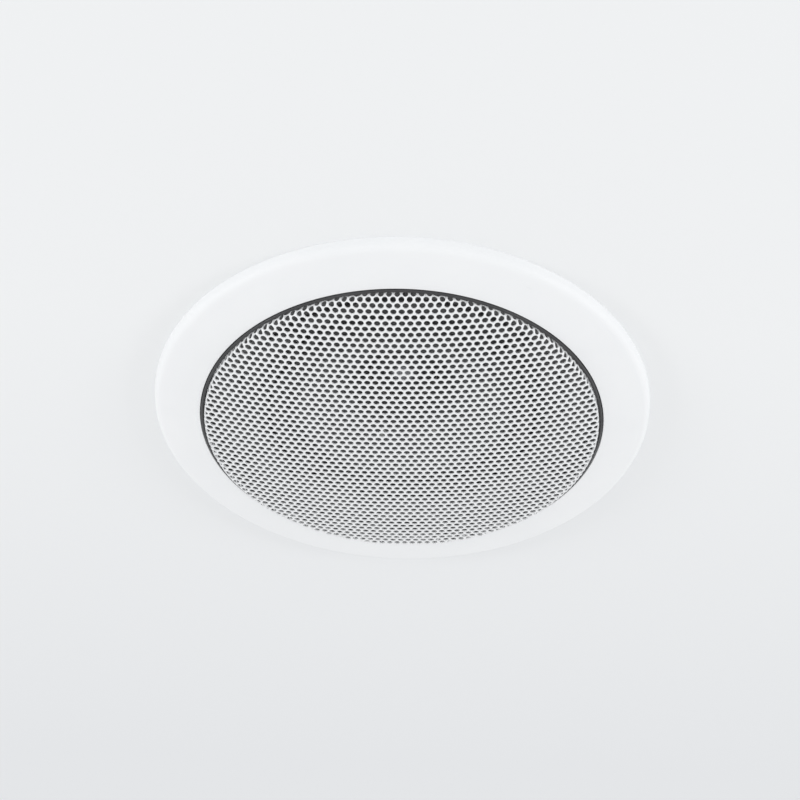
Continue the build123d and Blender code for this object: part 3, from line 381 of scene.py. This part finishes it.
def woven(name, shade, thread, pitch=0.0006):
    """Resin-dipped cloth: two sets of threads at right angles, darker where they dip."""
    material, tree, shader, place = new_finish(name, Specular_IOR_Level=0.3, Sheen_Weight=0.15)
    warp = lines(tree, place, pitch, "BANDS", "X", 0.4)
    weft = lines(tree, place, pitch, "BANDS", "Y", 0.4)
    cloth = mixed(tree, 0.5, warp, weft)
    tree.links.new(steps(tree, cloth, [(0.15, shade), (0.75, thread)]), shader.inputs["Base Color"])
    tree.links.new(steps(tree, cloth, [(0.1, 0.9), (0.9, 0.7)]), shader.inputs["Roughness"])
    relief(tree, shader, cloth, 6e-5)
    return material


def fired(name, dark, light, fleck, size=0.0012, gloss=(0.55, 0.75), depth=2.5e-5, edge=0.0003):
    """Fired or cast mineral body: grainy, flecked, with worn edges."""
    material, tree, shader, place = new_finish(name, Specular_IOR_Level=0.4)
    body = steps(tree, grain(tree, place, 0.007, 5), [(0.3, dark), (0.7, light)])
    speck = steps(tree, grain(tree, place, size, 3), [(0.58, 0.0), (0.7, 1.0)])
    flecks = steps(tree, grain(tree, place, size / 2, 2), [(0.3, fleck), (0.7, light)])
    tree.links.new(mixed(tree, speck, body, flecks), shader.inputs["Base Color"])
    rough = steps(tree, grain(tree, place, size * 2, 4), [(0.3, gloss[0]), (0.7, gloss[1])])
    tree.links.new(rough, shader.inputs["Roughness"])
    relief(tree, shader, grain(tree, place, size, 4), depth, edge)
    return material


def enamelled_wire(name, dark, light):
    """Wound enamelled copper: tinted lacquer over bright wire, varying a little from turn to turn."""
    material, tree, shader, place = new_finish(name, Metallic=0.9, Coat_Weight=0.5, Coat_Roughness=0.12)
    turn = grain(tree, place, 0.0016, 2, stretch=(6, 6, 0.5))
    tree.links.new(steps(tree, turn, [(0.3, dark), (0.7, light)]), shader.inputs["Base Color"])
    rough = steps(tree, grain(tree, place, 0.001, 3), [(0.3, 0.22), (0.7, 0.36)])
    tree.links.new(rough, shader.inputs["Roughness"])
    relief(tree, shader, grain(tree, place, 0.0004, 2), 5e-6)
    return material


def solder_masked(name, bare, copper_under, mottle):
    """Circuit board: green lacquer over broad copper areas, a little proud, parted by narrow dark gaps.

    A point lies in a gap where its distances to the two nearest seeds are about the same.
    """
    gloss = {"Specular_IOR_Level": 0.5, "Coat_Weight": 0.3, "Coat_Roughness": 0.15}
    material, tree, shader, place = new_finish(name, **gloss)
    apart = tree.nodes.new("ShaderNodeMath")
    apart.operation = "SUBTRACT"
    for feature, socket in zip(("F2", "F1"), apart.inputs):
        areas = tree.nodes.new("ShaderNodeTexVoronoi")
        areas.feature = feature
        areas.distance = "CHEBYCHEV"
        areas.inputs["Scale"].default_value = 115
        areas.inputs["Randomness"].default_value = 0.8
        tree.links.new(place, areas.inputs["Vector"])
        tree.links.new(areas.outputs["Distance"], socket)
    copper = steps(tree, apart.outputs["Value"], [(0.06, 0.0), (0.1, 1.0)])
    cloth = steps(tree, lines(tree, place, 0.0005, "BANDS", "X", 0.6), [(0.2, bare), (0.8, mottle)])
    brighter = [1.2 * c for c in copper_under]
    lacquer = steps(tree, grain(tree, place, 0.006, 3), [(0.3, copper_under), (0.8, brighter)])
    tree.links.new(mixed(tree, copper, cloth, lacquer), shader.inputs["Base Color"])
    rough = steps(tree, grain(tree, place, 0.003, 3), [(0.3, 0.28), (0.7, 0.4)])
    tree.links.new(rough, shader.inputs["Roughness"])
    relief(tree, shader, copper, 5e-5)
    return material


def sleeved(name, dark, light, x_low, x_high):
    """Part with a sleeve and bare wire legs: the legs are what lies outside the sleeve's ends along X.

    The span measured is twice the sleeve's length, so the sleeve ends a quarter of the way in from each side.
    """
    material, tree, shader, place = new_finish(name, Specular_IOR_Level=0.5)
    half = 0.5 * (x_high - x_low)
    span = along_axis(tree, place, "X", x_low - half, x_high + half)
    legs = steps(tree, span, [(0.0, 1.0), (0.249, 1.0), (0.251, 0.0), (0.749, 0.0), (0.751, 1.0)])
    skin = steps(tree, grain(tree, place, 0.006, 4), [(0.3, dark), (0.7, light)])
    brighter = [1.15 * c for c in LEG_WIRE]
    metal = steps(tree, grain(tree, place, 0.001, 3), [(0.3, LEG_WIRE), (0.7, brighter)])
    tree.links.new(mixed(tree, legs, skin, metal), shader.inputs["Base Color"])
    tree.links.new(legs, shader.inputs["Metallic"])
    rough = steps(tree, grain(tree, place, 0.002, 3), [(0.3, 0.26), (0.7, 0.4)])
    tree.links.new(rough, shader.inputs["Roughness"])
    relief(tree, shader, grain(tree, place, 0.0012, 2), 2e-5, 0.0003)
    return material


def fibre_board(name, dark, light):
    """Pressed fibre or paper: long fibres in resin, darker and lighter by turns."""
    material, tree, shader, place = new_finish(name, Specular_IOR_Level=0.35)
    fibre = grain(tree, place, 0.0006, 4, stretch=(6, 1, 1))
    tree.links.new(steps(tree, fibre, [(0.3, dark), (0.7, light)]), shader.inputs["Base Color"])
    tree.links.new(steps(tree, fibre, [(0.3, 0.6), (0.7, 0.75)]), shader.inputs["Roughness"])
    relief(tree, shader, fibre, 2e-5, 0.0002)
    return material


def nylon(name, dark, light):
    """Glass-filled nylon: milky, with short flow streaks and a dry surface."""
    material, tree, shader, place = new_finish(name, Specular_IOR_Level=0.4, Subsurface_Weight=0.06)
    shader.inputs["Subsurface Radius"].default_value = (0.001, 0.001, 0.0008)
    flow = grain(tree, place, 0.0012, 4, stretch=(4, 4, 1))
    tree.links.new(steps(tree, flow, [(0.25, dark), (0.7, light)]), shader.inputs["Base Color"])
    tree.links.new(steps(tree, flow, [(0.3, 0.5), (0.7, 0.64)]), shader.inputs["Roughness"])
    relief(tree, shader, flow, 1.2e-5, 0.0004)
    return material


LEG_REACH = 2.6 * MM
LEG_WIRE = (0.62, 0.61, 0.58)


def leg_span(name):
    """Ends of a board part's body along X, in metres: its node's box less the legs' reach on each side."""
    low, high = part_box(name)
    return low.x + LEG_REACH, high.x - LEG_REACH


finishes = {
    "white_plastic": moulded(
        "white_moulding", (0.885, 0.893, 0.902), (0.9, 0.907, 0.914), depth=3e-6, edge=0.0002
    ),
    "black_plastic": moulded("black_moulding", (0.045, 0.045, 0.047), (0.062, 0.062, 0.064)),
    "zinc_steel": plated("zinc_plate", (0.55, 0.56, 0.58), (0.74, 0.75, 0.76), edge=0.00015),
    "white_steel": powder_coated("white_powder_coat", (0.868, 0.876, 0.884), (0.888, 0.895, 0.902)),
    "black_steel": powder_coated(
        "black_powder_coat", (0.085, 0.085, 0.087), (0.113, 0.113, 0.115), edge=0.0004
    ),
    "black_screws": powder_coated(
        "black_phosphate", (0.1, 0.1, 0.102), (0.14, 0.14, 0.142), (0.4, 0.55), peel=0.0006, depth=6e-6
    ),
    "rubber": rubbery("surround_rubber", (0.075, 0.075, 0.076), (0.102, 0.102, 0.103)),
    "gasket": foamed("gasket_foam", (0.045, 0.045, 0.045), (0.11, 0.11, 0.111)),
    "cone": formed_cone(
        "cone_moulding", (0.108, 0.11, 0.113), (0.145, 0.147, 0.151), (0.054, 0.054, 0.055)
    ),
    "former": fibre_board("former_paper", (0.22, 0.212, 0.2), (0.3, 0.288, 0.27)),
    "copper": enamelled_wire("copper_wire", (0.5, 0.17, 0.06), (0.7, 0.29, 0.12)),
    "spider": woven("spider_cloth", (0.3, 0.17, 0.05), (0.58, 0.38, 0.15)),
    "plated_steel": plated("turned_zinc_plate", (0.5, 0.51, 0.54), (0.68, 0.69, 0.71), pitch=0.0007),
    "ferrite": fired("ground_ferrite", (0.045, 0.045, 0.048), (0.075, 0.075, 0.079), (0.12, 0.12, 0.125)),
    "phenolic": fibre_board("fibre_strip", (0.16, 0.065, 0.025), (0.27, 0.125, 0.055)),
    "tinned_brass": plated("tinned_lug", (0.6, 0.59, 0.55), (0.78, 0.77, 0.73), gloss=(0.2, 0.34)),
    "nickel": plated("nickel_plate", (0.58, 0.57, 0.54), (0.72, 0.71, 0.68), gloss=(0.14, 0.24)),
    "film": drawn_film("dome_film", (0.27, 0.28, 0.3), (0.34, 0.35, 0.37), (0.075, 0.075, 0.078)),
    "board": solder_masked("solder_mask", (0.008, 0.055, 0.024), (0.02, 0.14, 0.06), (0.011, 0.07, 0.03)),
    "bobbin": moulded("bobbin_moulding", (0.03, 0.03, 0.03), (0.05, 0.05, 0.05), gloss=(0.35, 0.48)),
    "capacitor": sleeved("blue_sleeve", (0.02, 0.055, 0.19), (0.034, 0.08, 0.25), *leg_span("capacitor")),
    "resistor": sleeved("cement_body", (0.64, 0.6, 0.51), (0.75, 0.72, 0.63), *leg_span("resistor")),
    "film_capacitor": moulded(
        "red_epoxy", (0.42, 0.028, 0.022), (0.54, 0.045, 0.034), gloss=(0.18, 0.3), edge=0.0005
    ),
    "red_plastic": moulded("red_moulding", (0.5, 0.016, 0.016), (0.58, 0.026, 0.024), gloss=(0.26, 0.38)),
    "lever_black": moulded(
        "lever_moulding", (0.014, 0.014, 0.014), (0.022, 0.022, 0.022), gloss=(0.26, 0.38)
    ),
    "dog_plastic": nylon("dog_nylon", (0.7, 0.7, 0.67), (0.8, 0.8, 0.78)),
}

for subpart in frame["record"]["subparts"]:
    node[subpart["node"]].material_slots[0].material = finishes[subpart["material_slot"]]

node["chassis"].material_slots[0].material = painted_light_moulding(
    "chassis_moulding",
    lip=((0.04, 0.04, 0.042), (0.056, 0.056, 0.058)),
    # The tones behind the grille are painted light: lighter greys that brighten the inside seen through the
    # holes.
    painted_light_inside=((0.145, 0.145, 0.147), (0.178, 0.178, 0.18)),
    outside=((0.05, 0.05, 0.052), (0.068, 0.068, 0.07)),
)

node["cone_eyelets"].material_slots[0].material = plated(
    "dull_solder", (0.3, 0.3, 0.29), (0.42, 0.42, 0.4), gloss=(0.4, 0.52)
)


# Trim ring: the same section as the solid's, with its round rim worked out finely

BEZEL_OUTLINE = rounded_outline(
    [(93.5, 0), (93.1, -4.75), (75.87, -9.0), (75.87, -6.8), (90.9, -2.55), (91.3, 0)],
    [0.06, 3.5, 0.15, 0.2, 0.3, 0.25],
    arc_points=10,
)
BEZEL_SEGMENTS = 256
BOSS_CIRCLE_R = 84
BOSS_COUNT = 6
BOSS_R = 3.4
BOSS_BORE_R = 1.3
BOSS_PILOT_R = 0.6
BOSS_TOP_Z = -2.5
BOSS_FLOOR_Z = -5.2
BOSS_END_Z = -6.2
BOSS_SEGMENTS = 24


def trim_ring():
    """Ring of the rounded section, with evenly spaced screw bosses behind it.

    A boss is a tube round its own upright axis, with a narrower pilot bore below its floor.
    """
    boss = np.array([
        (BOSS_BORE_R, BOSS_TOP_Z),
        (BOSS_R, BOSS_TOP_Z),
        (BOSS_R, BOSS_END_Z),
        (BOSS_PILOT_R, BOSS_END_Z),
        (BOSS_PILOT_R, BOSS_FLOOR_Z),
        (BOSS_BORE_R, BOSS_FLOOR_Z),
    ])
    spokes = np.linspace(0, 2 * pi, BOSS_COUNT, endpoint=False)
    spots = [(BOSS_CIRCLE_R * cos(a), BOSS_CIRCLE_R * sin(a), 0) for a in spokes]
    ring = carried_round(BEZEL_OUTLINE, BEZEL_SEGMENTS)
    return joined(ring, *[carried_round(boss, BOSS_SEGMENTS, spot) for spot in spots])


shell_piece("bezel_shell", trim_ring(), finishes["white_plastic"], stands_for=["bezel"])


# Grille: domed sheet with round holes in a staggered pattern, bent into a skirt at the edge

PITCH = 2.9967
HOLE_R = 1.176
SHEET = 0.53
CROWN_Z = -19.97
CROWN_RADIUS = 400.55
CROWN_FALL = 1.3717
CROWN_SPAN = 70.0
DRAW_IN = 0.00739
RIM_PULL = 0.2
PULL_START = 69.5
PULL_SPAN = 4.0
BEND_START = 73.31
BEND_FLAT = 73.919
BEND_R = 1.2
SKIRT_SHEET_R = 77.5
LATTICE_SPIN = radians(-2.974)
LATTICE_SHIFT = (0.7076, -13.9066)
LATTICE_COLUMNS, LATTICE_ROWS = 70, 40
HOLE_SIDES = 12


def crown(r):
    """Depth of the dome and its slope at radius r: a parabola with a fourth-power fall towards the edge."""
    depth = CROWN_Z + r**2 / (2 * CROWN_RADIUS) + CROWN_FALL * (r / CROWN_SPAN) ** 4
    slope = r / CROWN_RADIUS + 4 * CROWN_FALL * r**3 / CROWN_SPAN**4
    return depth, slope


def formed_sheet(flat):
    """Flat sheet points formed, in front and behind: pressing draws the radius in by a cube law on the dome.

    Past the dome's edge the sheet follows an arc of the bend's radius, then runs straight up as the skirt.
    The back lies a sheet's thickness behind the front, along its normal.
    """
    s = np.linalg.norm(flat, axis=-1)
    drawn = np.minimum(s * (1 - DRAW_IN * (s / CROWN_SPAN) ** 2), BEND_START)
    lean = np.arctan(crown(BEND_START)[1])
    arc = BEND_R * (pi / 2 - lean)
    over = s - BEND_FLAT
    turn = lean + np.clip(over, 0, arc) / BEND_R
    depth, slope = crown(drawn)
    tilt = np.where(over > 0, turn, np.arctan(slope))
    radius = drawn + BEND_R * (np.sin(turn) - np.sin(lean))
    z = depth + BEND_R * (np.cos(lean) - np.cos(turn)) + np.clip(over - arc, 0, None)
    outward = flat / np.maximum(s, 1e-9)[..., None]
    front = np.concatenate([outward * radius[..., None], z[..., None]], -1)
    inward = np.concatenate([-outward * np.sin(tilt)[..., None], np.cos(tilt)[..., None]], -1)
    return front, front + SHEET * inward


def pulled(centre, outline):
    """Hole outlines about their centres, pulled near the rim: longer along the radius, narrower across it.

    The pull grows with the square of the way into the rim's span, and a third of it is taken off the width.
    """
    radius = np.linalg.norm(centre, axis=-1)[:, None, None]
    outward = centre[:, None] / radius
    pull = RIM_PULL * np.clip((radius - PULL_START) / PULL_SPAN, 0, 1) ** 2
    along = (outline * outward).sum(-1, keepdims=True) * outward
    return outline + pull * (along - (outline - along) / 3)


def perforated_sheet():
    """Cells of a staggered lattice, as far as the skirt's edge.

    Twelve quads join each hole to its hexagon, in front and behind, and twelve line the hole. Hexagon edges
    that only one cell uses are the sheet's cut edge, and a quad closes each.
    """
    columns = np.arange(-LATTICE_COLUMNS, LATTICE_COLUMNS + 1)
    rows = np.arange(-LATTICE_ROWS, LATTICE_ROWS + 1)
    i, j = np.meshgrid(columns, rows)
    u = PITCH * (i + j / 2) + LATTICE_SHIFT[0]
    v = PITCH * np.sqrt(3) / 2 * j + LATTICE_SHIFT[1]
    c, s = cos(LATTICE_SPIN), sin(LATTICE_SPIN)
    centre = np.stack([c * u - s * v, s * u + c * v], -1).reshape(-1, 2)
    centre = centre[np.linalg.norm(centre, axis=-1) < SKIRT_SHEET_R]
    corner = np.arange(HOLE_SIDES)
    angle = LATTICE_SPIN + 2 * pi / HOLE_SIDES * corner
    ray = np.stack([np.cos(angle), np.sin(angle)], -1)
    cell_reach = np.where(corner % 2 == 0, PITCH / 2, PITCH / np.sqrt(3))[:, None]
    hexagon = centre[:, None] + ray * cell_reach
    hole = centre[:, None] + pulled(centre, ray * HOLE_R)
    flat = np.stack([hexagon, hole], 1).reshape(-1, 2)
    front, back = formed_sheet(flat)
    count = len(flat)
    index = np.arange(count).reshape(-1, 2, HOLE_SIDES)
    outer, inner = index[:, 0], index[:, 1]
    outer_next, inner_next = np.roll(outer, -1, 1), np.roll(inner, -1, 1)
    face = np.stack([outer, outer_next, inner_next, inner], -1).reshape(-1, 4)
    wall = np.stack([inner, inner_next, inner_next + count, inner + count], -1).reshape(-1, 4)
    microns = np.round(flat * MICRONS_PER_MM).astype(np.int64)
    spots = np.unique(microns, axis=0, return_inverse=True)[1].reshape(-1)
    ends = np.sort(np.stack([spots[outer], spots[outer_next]], -1), -1).reshape(-1, 2)
    first, uses = np.unique(ends, axis=0, return_index=True, return_counts=True)[1:]
    rim = first[uses == 1]
    a, b = outer.reshape(-1)[rim], outer_next.reshape(-1)[rim]
    cut = np.stack([a, b, b + count, a + count], -1)
    return np.concatenate([front, back]), np.concatenate([face, face[:, ::-1] + count, wall, cut])


shell_piece(
    "grille_sheet",
    perforated_sheet(),
    finishes["white_steel"],
    stands_for=["grille"],
    crease=40,
)


# Surround and spider: sheets in sectors, each running from the fixed edge to the moving one along its spoke

def bent_ring(name, front, back, sectors, slot):
    """Ring of equal sectors, each running from the frame at one radius to the cone at another."""
    share = 2 * pi / sectors
    for number in range(sectors):
        spoke = number * share
        piece = shell_piece(
            f"{name}_sector_{number + 1}",
            sheet_sector(front, back, spoke - share / 2, spoke + share / 2),
            finishes[slot],
            body=None,
            stands_for=[name],
        )
        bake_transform(piece)


def half_roll(base, half, rise=3.6, edge_out=53.9, edge_in=40.5, mid=46.6, points=19):
    """Profile of a flat lip, an arc of a given half chord and rise, and another flat lip.

    The arc's radius is (half^2 + rise^2) / (2 rise), and it sweeps 2 atan(rise / half) to each side.
    """
    radius = (half**2 + rise**2) / (2 * rise)
    sweep = 2 * np.arctan2(rise, half)
    turn = np.linspace(sweep, -sweep, points)
    arc = np.stack([mid + radius * np.sin(turn), base - rise + radius * (1 - np.cos(turn))], -1)
    return np.concatenate([[(edge_out, base)], arc, [(edge_in, base)]])


bent_ring(
    "surround",
    half_roll(base=-3.1, half=3.4),
    half_roll(base=-2.5, half=2.8),
    24,
    "rubber",
)


def pleats(base, wave=1.2, start=17.0, half_wave=1.875, count=8, collar_r=13.0, edge_r=39.3, points=57):
    """Profile of a flat collar, even pleats and a flat edge: height = base - wave sin(pi steps out)."""
    steps_out = np.linspace(0, count, points)
    waved = np.stack([start + half_wave * steps_out, base - wave * np.sin(pi * steps_out)], -1)
    return np.concatenate([[(collar_r, base)], waved, [(edge_r, base)]])


bent_ring("spider", pleats(19.5), pleats(20.0), 16, "spider")


# Inductor: turns of wire on the bobbin

def wound_turns(turns=13, inner=5.6, outer=10.1, low=1.2, high=11.8, base=(-16.4, 8.4, 58.9), segments=96):
    """Ring whose outer side is a row of round turns, with the radius half a wire less between turns.

    Radius = outer - wire / 2 + wire / 2 |sin(pi turns)|^fullness: below one, the fullness rounds a turn.
    """
    fullness = 0.7
    points_per_turn = 8
    wire = (high - low) / turns
    along = np.linspace(0, turns, turns * points_per_turn + 1)
    height = low + along * wire
    radius = outer - wire / 2 + wire / 2 * np.abs(np.sin(pi * along)) ** fullness
    outline = np.concatenate([np.stack([radius, height], -1), [(inner, high), (inner, low)]])
    return carried_round(outline, segments, base)


shell_piece(
    "inductor_turns", wound_turns(), finishes["copper"], stands_for=["inductor_winding"], crease=80
)


# Clamp screws: pan head with a cross recess, and a rolled thread

CLAMP_CIRCLE_R = 67.5
CLAMP_SPOKES = np.radians([30, 150, 270])
SCREW_SEAT_Z = -1.0
SCREW_TIP_Z = 43.5
SCREW_TIP_R = 1.2
SCREW_TIP_TAPER = 0.6
SHANK = 3.0
THREAD_PITCH = 1.2
THREAD_CREST_R = 2.0
THREAD_ROOT_R = 1.55
FLANK_PEAK = 1.6
FLANK_SLOPE = 3.6
HEAD_R = 3.6
HEAD_H = 2.4
HEAD_CROWN = 0.9
RECESS_DEPTH = 1.3
SCREW_SEGMENTS = 32
RINGS_PER_TURN = 7
HEAD_RINGS = 16


def thread_radius(z, turns):
    """Radius of the rolled thread: root plus the flank's share of the thread's depth.

    The flank depends on the phase, z / pitch less the turns made, and rises on a straight slope to a flat
    crest half-way through it. The thread fades over one pitch at each end.
    """
    phase = np.mod(z / THREAD_PITCH - turns, 1)
    flank = np.clip(FLANK_PEAK - FLANK_SLOPE * np.abs(phase - 0.5), 0, 1)
    started = np.clip((z - SCREW_SEAT_Z - SHANK) / THREAD_PITCH, 0, 1)
    ended = np.clip((SCREW_TIP_Z - z) / THREAD_PITCH, 0, 1)
    return THREAD_ROOT_R + (THREAD_CREST_R - THREAD_ROOT_R) * flank * ended * started


def cross_recess(x, y, half_width=0.56, half_length=2.1, side_slope=0.28, end_slope=0.35):
    """Share of the recess's depth: the larger of two arms at right angles, with sloped sides and ends."""
    def arm(across, along):
        beside = np.clip((half_width + side_slope - np.abs(across)) / side_slope, 0, 1)
        beyond = np.clip((half_length + end_slope - np.abs(along)) / end_slope, 0, 1)
        return beside * beyond

    return np.maximum(arm(x, y), arm(y, x))


def clamp_screw(x, y):
    """Rings along an upright axis, from the middle of the head's face over its rim and the shank to the tip.

    The face rises towards the rim with the cube of the radius and sinks along the cross recess.
    """
    turns = np.linspace(0, 1, SCREW_SEGMENTS, endpoint=False)[None]
    angle = 2 * pi * turns
    face_z = SCREW_SEAT_Z - HEAD_H
    share = np.linspace(0.02, 1, HEAD_RINGS)[:, None]
    recess = cross_recess(share * HEAD_R * np.cos(angle), share * HEAD_R * np.sin(angle))
    face = face_z + HEAD_CROWN * share**3 + RECESS_DEPTH * recess * (1 - share**2)
    z = np.arange(SCREW_SEAT_Z + SHANK, SCREW_TIP_Z - SCREW_TIP_TAPER, THREAD_PITCH / RINGS_PER_TURN)[:, None]
    rings = [
        (0, face_z + RECESS_DEPTH),
        (share * HEAD_R, face),
        (HEAD_R, SCREW_SEAT_Z),
        (THREAD_CREST_R, SCREW_SEAT_Z),
        (THREAD_CREST_R, SCREW_SEAT_Z + SHANK),
        (thread_radius(z, turns), z),
        (SCREW_TIP_R, SCREW_TIP_Z),
        (0, SCREW_TIP_Z),
    ]
    radius = np.concatenate([r + 0 * angle for r, height in rings])
    height = np.concatenate([height + 0 * angle for r, height in rings])
    points = np.stack([x + radius * np.cos(angle), y + radius * np.sin(angle), height], -1)
    return points.reshape(-1, 3), grid_quads(len(radius), SCREW_SEGMENTS, wrap_rows=False)


for number, spoke in enumerate(CLAMP_SPOKES, 1):
    shell_piece(
        f"clamp_bolt_{number}",
        clamp_screw(CLAMP_CIRCLE_R * cos(spoke), CLAMP_CIRCLE_R * sin(spoke)),
        finishes["black_screws"],
        body=f"clamp_screw_{number}",
        stands_for=[f"clamp_screw_{number}"],
        crease=32,
    )


# Stage: the underside of a plain ceiling, seen only from the room

CUTOUT_R = 82.2 * MM
CEILING_RINGS = (CUTOUT_R, 0.2, 0.6, 3.0)
CEILING_Z = -0.05 * MM
CEILING_SEGMENTS = 128


def ceiling_paint():
    """Matt paint, painted a little darker along +Y as painted shade for the room's light falling off away
    from the near side, with a roller texture; from above, sight and light pass it.
    """
    material, tree, shader, place = new_finish("ceiling_paint", Specular_IOR_Level=0.2, Roughness=0.8)
    # Painted shade: far is the darker tone towards +Y, standing in for the light falling off across the
    # ceiling.
    near, far = (0.898, 0.906, 0.91), (0.82, 0.83, 0.842)
    shade = steps(tree, along_axis(tree, place, "Y", -0.05, 0.25), [(0.0, near), (1.0, far)])
    tree.links.new(shade, shader.inputs["Base Color"])
    relief(tree, shader, grain(tree, place, 0.002, 2), 8e-6)
    behind = tree.nodes.new("ShaderNodeNewGeometry").outputs["Backfacing"]
    clear = tree.nodes.new("ShaderNodeBsdfTransparent")
    choice = tree.nodes.new("ShaderNodeMixShader")
    tree.links.new(behind, choice.inputs["Fac"])
    tree.links.new(shader.outputs["BSDF"], choice.inputs[1])
    tree.links.new(clear.outputs["BSDF"], choice.inputs[2])
    tree.links.new(choice.outputs["Shader"], tree.nodes["Material Output"].inputs["Surface"])
    return material


def ceiling():
    """Flat rings from the cut-out's edge to three metres, facing down, a hair below the flange on it."""
    angle = np.linspace(0, 2 * pi, CEILING_SEGMENTS, endpoint=False)
    radius = np.array(CEILING_RINGS)[:, None]
    points = np.stack([radius * np.cos(angle), radius * np.sin(angle), CEILING_Z + 0 * radius * angle], -1)
    mesh = bpy.data.meshes.new("ceiling")
    quads = grid_quads(len(CEILING_RINGS), CEILING_SEGMENTS, wrap_rows=False)
    mesh.from_pydata(points.reshape(-1, 3).tolist(), [], quads.tolist())
    if mesh.polygons[0].normal.z > 0:
        mesh.flip_normals()
    mesh.materials.append(ceiling_paint())
    plane = bpy.data.objects.new("ceiling", mesh)
    bpy.context.scene.collection.objects.link(plane)


ceiling()


# Light: a bright horizon round the room, two windows, and soft lamps in the space above the ceiling

HORIZON, FLOOR, ABOVE = 1.18, 0.835, 0.6
EYE_LEVEL, OVERHEAD_LEVEL = 0.5, 0.56
ROOM_TINT = (0.985, 0.992, 1.0)
ROOM_BANDS = 7
BACKDROP = (0.8, 0.81, 0.82, 1)
WINDOW_TINT = (0.99, 0.995, 1.0)


def room_light(sky):
    """World colour by height: floor + (horizon - floor) times the square of the way up, then dim overhead."""
    heading = sky.nodes.new("ShaderNodeTexCoord").outputs["Generated"]
    level = along_axis(sky, heading, "Z", -1.0, 1.0)
    rise = [(up, FLOOR + (HORIZON - FLOOR) * up**2) for up in np.linspace(0, 1, ROOM_BANDS)]
    bands = [(EYE_LEVEL * up, [value * tint for tint in ROOM_TINT]) for up, value in rise]
    return steps(sky, level, [*bands, (OVERHEAD_LEVEL, ABOVE)])


def either(tree, first, second):
    """The larger of two amounts."""
    larger = tree.nodes.new("ShaderNodeMath")
    larger.operation = "MAXIMUM"
    tree.links.new(first, larger.inputs[0])
    tree.links.new(second, larger.inputs[1])
    return larger.outputs["Value"]


def studio():
    """World that lights by the room's colours, and shows itself and its reflections as one plain backdrop."""
    world = bpy.data.worlds.new("studio")
    bpy.context.scene.world = world
    world.use_nodes = True
    sky = world.node_tree
    fill = sky.nodes["Background"]
    fill.inputs["Strength"].default_value = 1.0
    sky.links.new(room_light(sky), fill.inputs["Color"])
    backdrop = sky.nodes.new("ShaderNodeBackground")
    backdrop.inputs["Color"].default_value = BACKDROP
    backdrop.inputs["Strength"].default_value = 1.0
    ray = sky.nodes.new("ShaderNodeLightPath").outputs
    seen = either(sky, ray["Is Camera Ray"], ray["Is Glossy Ray"])
    swap = sky.nodes.new("ShaderNodeMixShader")
    sky.links.new(either(sky, seen, ray["Is Transmission Ray"]), swap.inputs["Fac"])
    sky.links.new(fill.outputs["Background"], swap.inputs[1])
    sky.links.new(backdrop.outputs["Background"], swap.inputs[2])
    sky.links.new(swap.outputs["Shader"], sky.nodes["World Output"].inputs["Surface"])


def softbox(name, place, target, size, watts, colour=(1, 1, 1)):
    """Square soft lamp of a side in metres, at a place and turned to a target."""
    lamp = bpy.data.lights.new(name, "AREA")
    lamp.shape = "SQUARE"
    lamp.size = size
    lamp.energy = watts
    lamp.color = colour
    holder = bpy.data.objects.new(name, lamp)
    bpy.context.scene.collection.objects.link(holder)
    holder.location = place
    holder.rotation_euler = (Vector(target) - Vector(place)).to_track_quat("-Z", "Y").to_euler()


studio()
softbox("right_window", (1.55, -0.58, -0.5), (0, 0, 0), 0.35, 4.0, WINDOW_TINT)
softbox("left_window", (-1.55, -0.58, -0.5), (0, 0, 0), 0.35, 3.9, WINDOW_TINT)
softbox("void_light", (0.45, -0.6, 1.75), (0, 0, 0.03), 1.5, 10)
softbox("void_fill", (-0.95, 0.75, 1.2), (0, 0, 0.03), 1.3, 5.5)


# Camera below the ceiling, fitted to the ellipses of the trim ring and the grille

PICTURE_PIXELS = 800
SENSOR = 36
LENS_PIXELS = 2827.7
DISTANCE = 1.06467
TILT = radians(39.39)
ROLL = 0.0345
AIM_RIGHT, AIM_UP, AIM_Z = 0.56 * MM, -8.68 * MM, -9.0 * MM

level_right, level_up = Vector((1, 0, 0)), Vector((0, -sin(TILT), cos(TILT)))
ahead = Vector((0, cos(TILT), sin(TILT)))
right = cos(ROLL) * level_right + sin(ROLL) * level_up
up = -sin(ROLL) * level_right + cos(ROLL) * level_up
eye = Vector((0, 0, AIM_Z)) - AIM_RIGHT * right - AIM_UP * up - DISTANCE * ahead
camera = bpy.data.objects.new("camera", bpy.data.cameras.new("camera"))
camera.data.sensor_width = SENSOR
camera.data.lens = LENS_PIXELS / PICTURE_PIXELS * SENSOR
camera.data.clip_start = 0.01
camera.matrix_world = Matrix.Translation(eye) @ Matrix((right, up, -ahead)).transposed().to_4x4()
bpy.context.scene.collection.objects.link(camera)
bpy.context.scene.camera = camera
bpy.context.scene.view_settings.view_transform = "Standard"
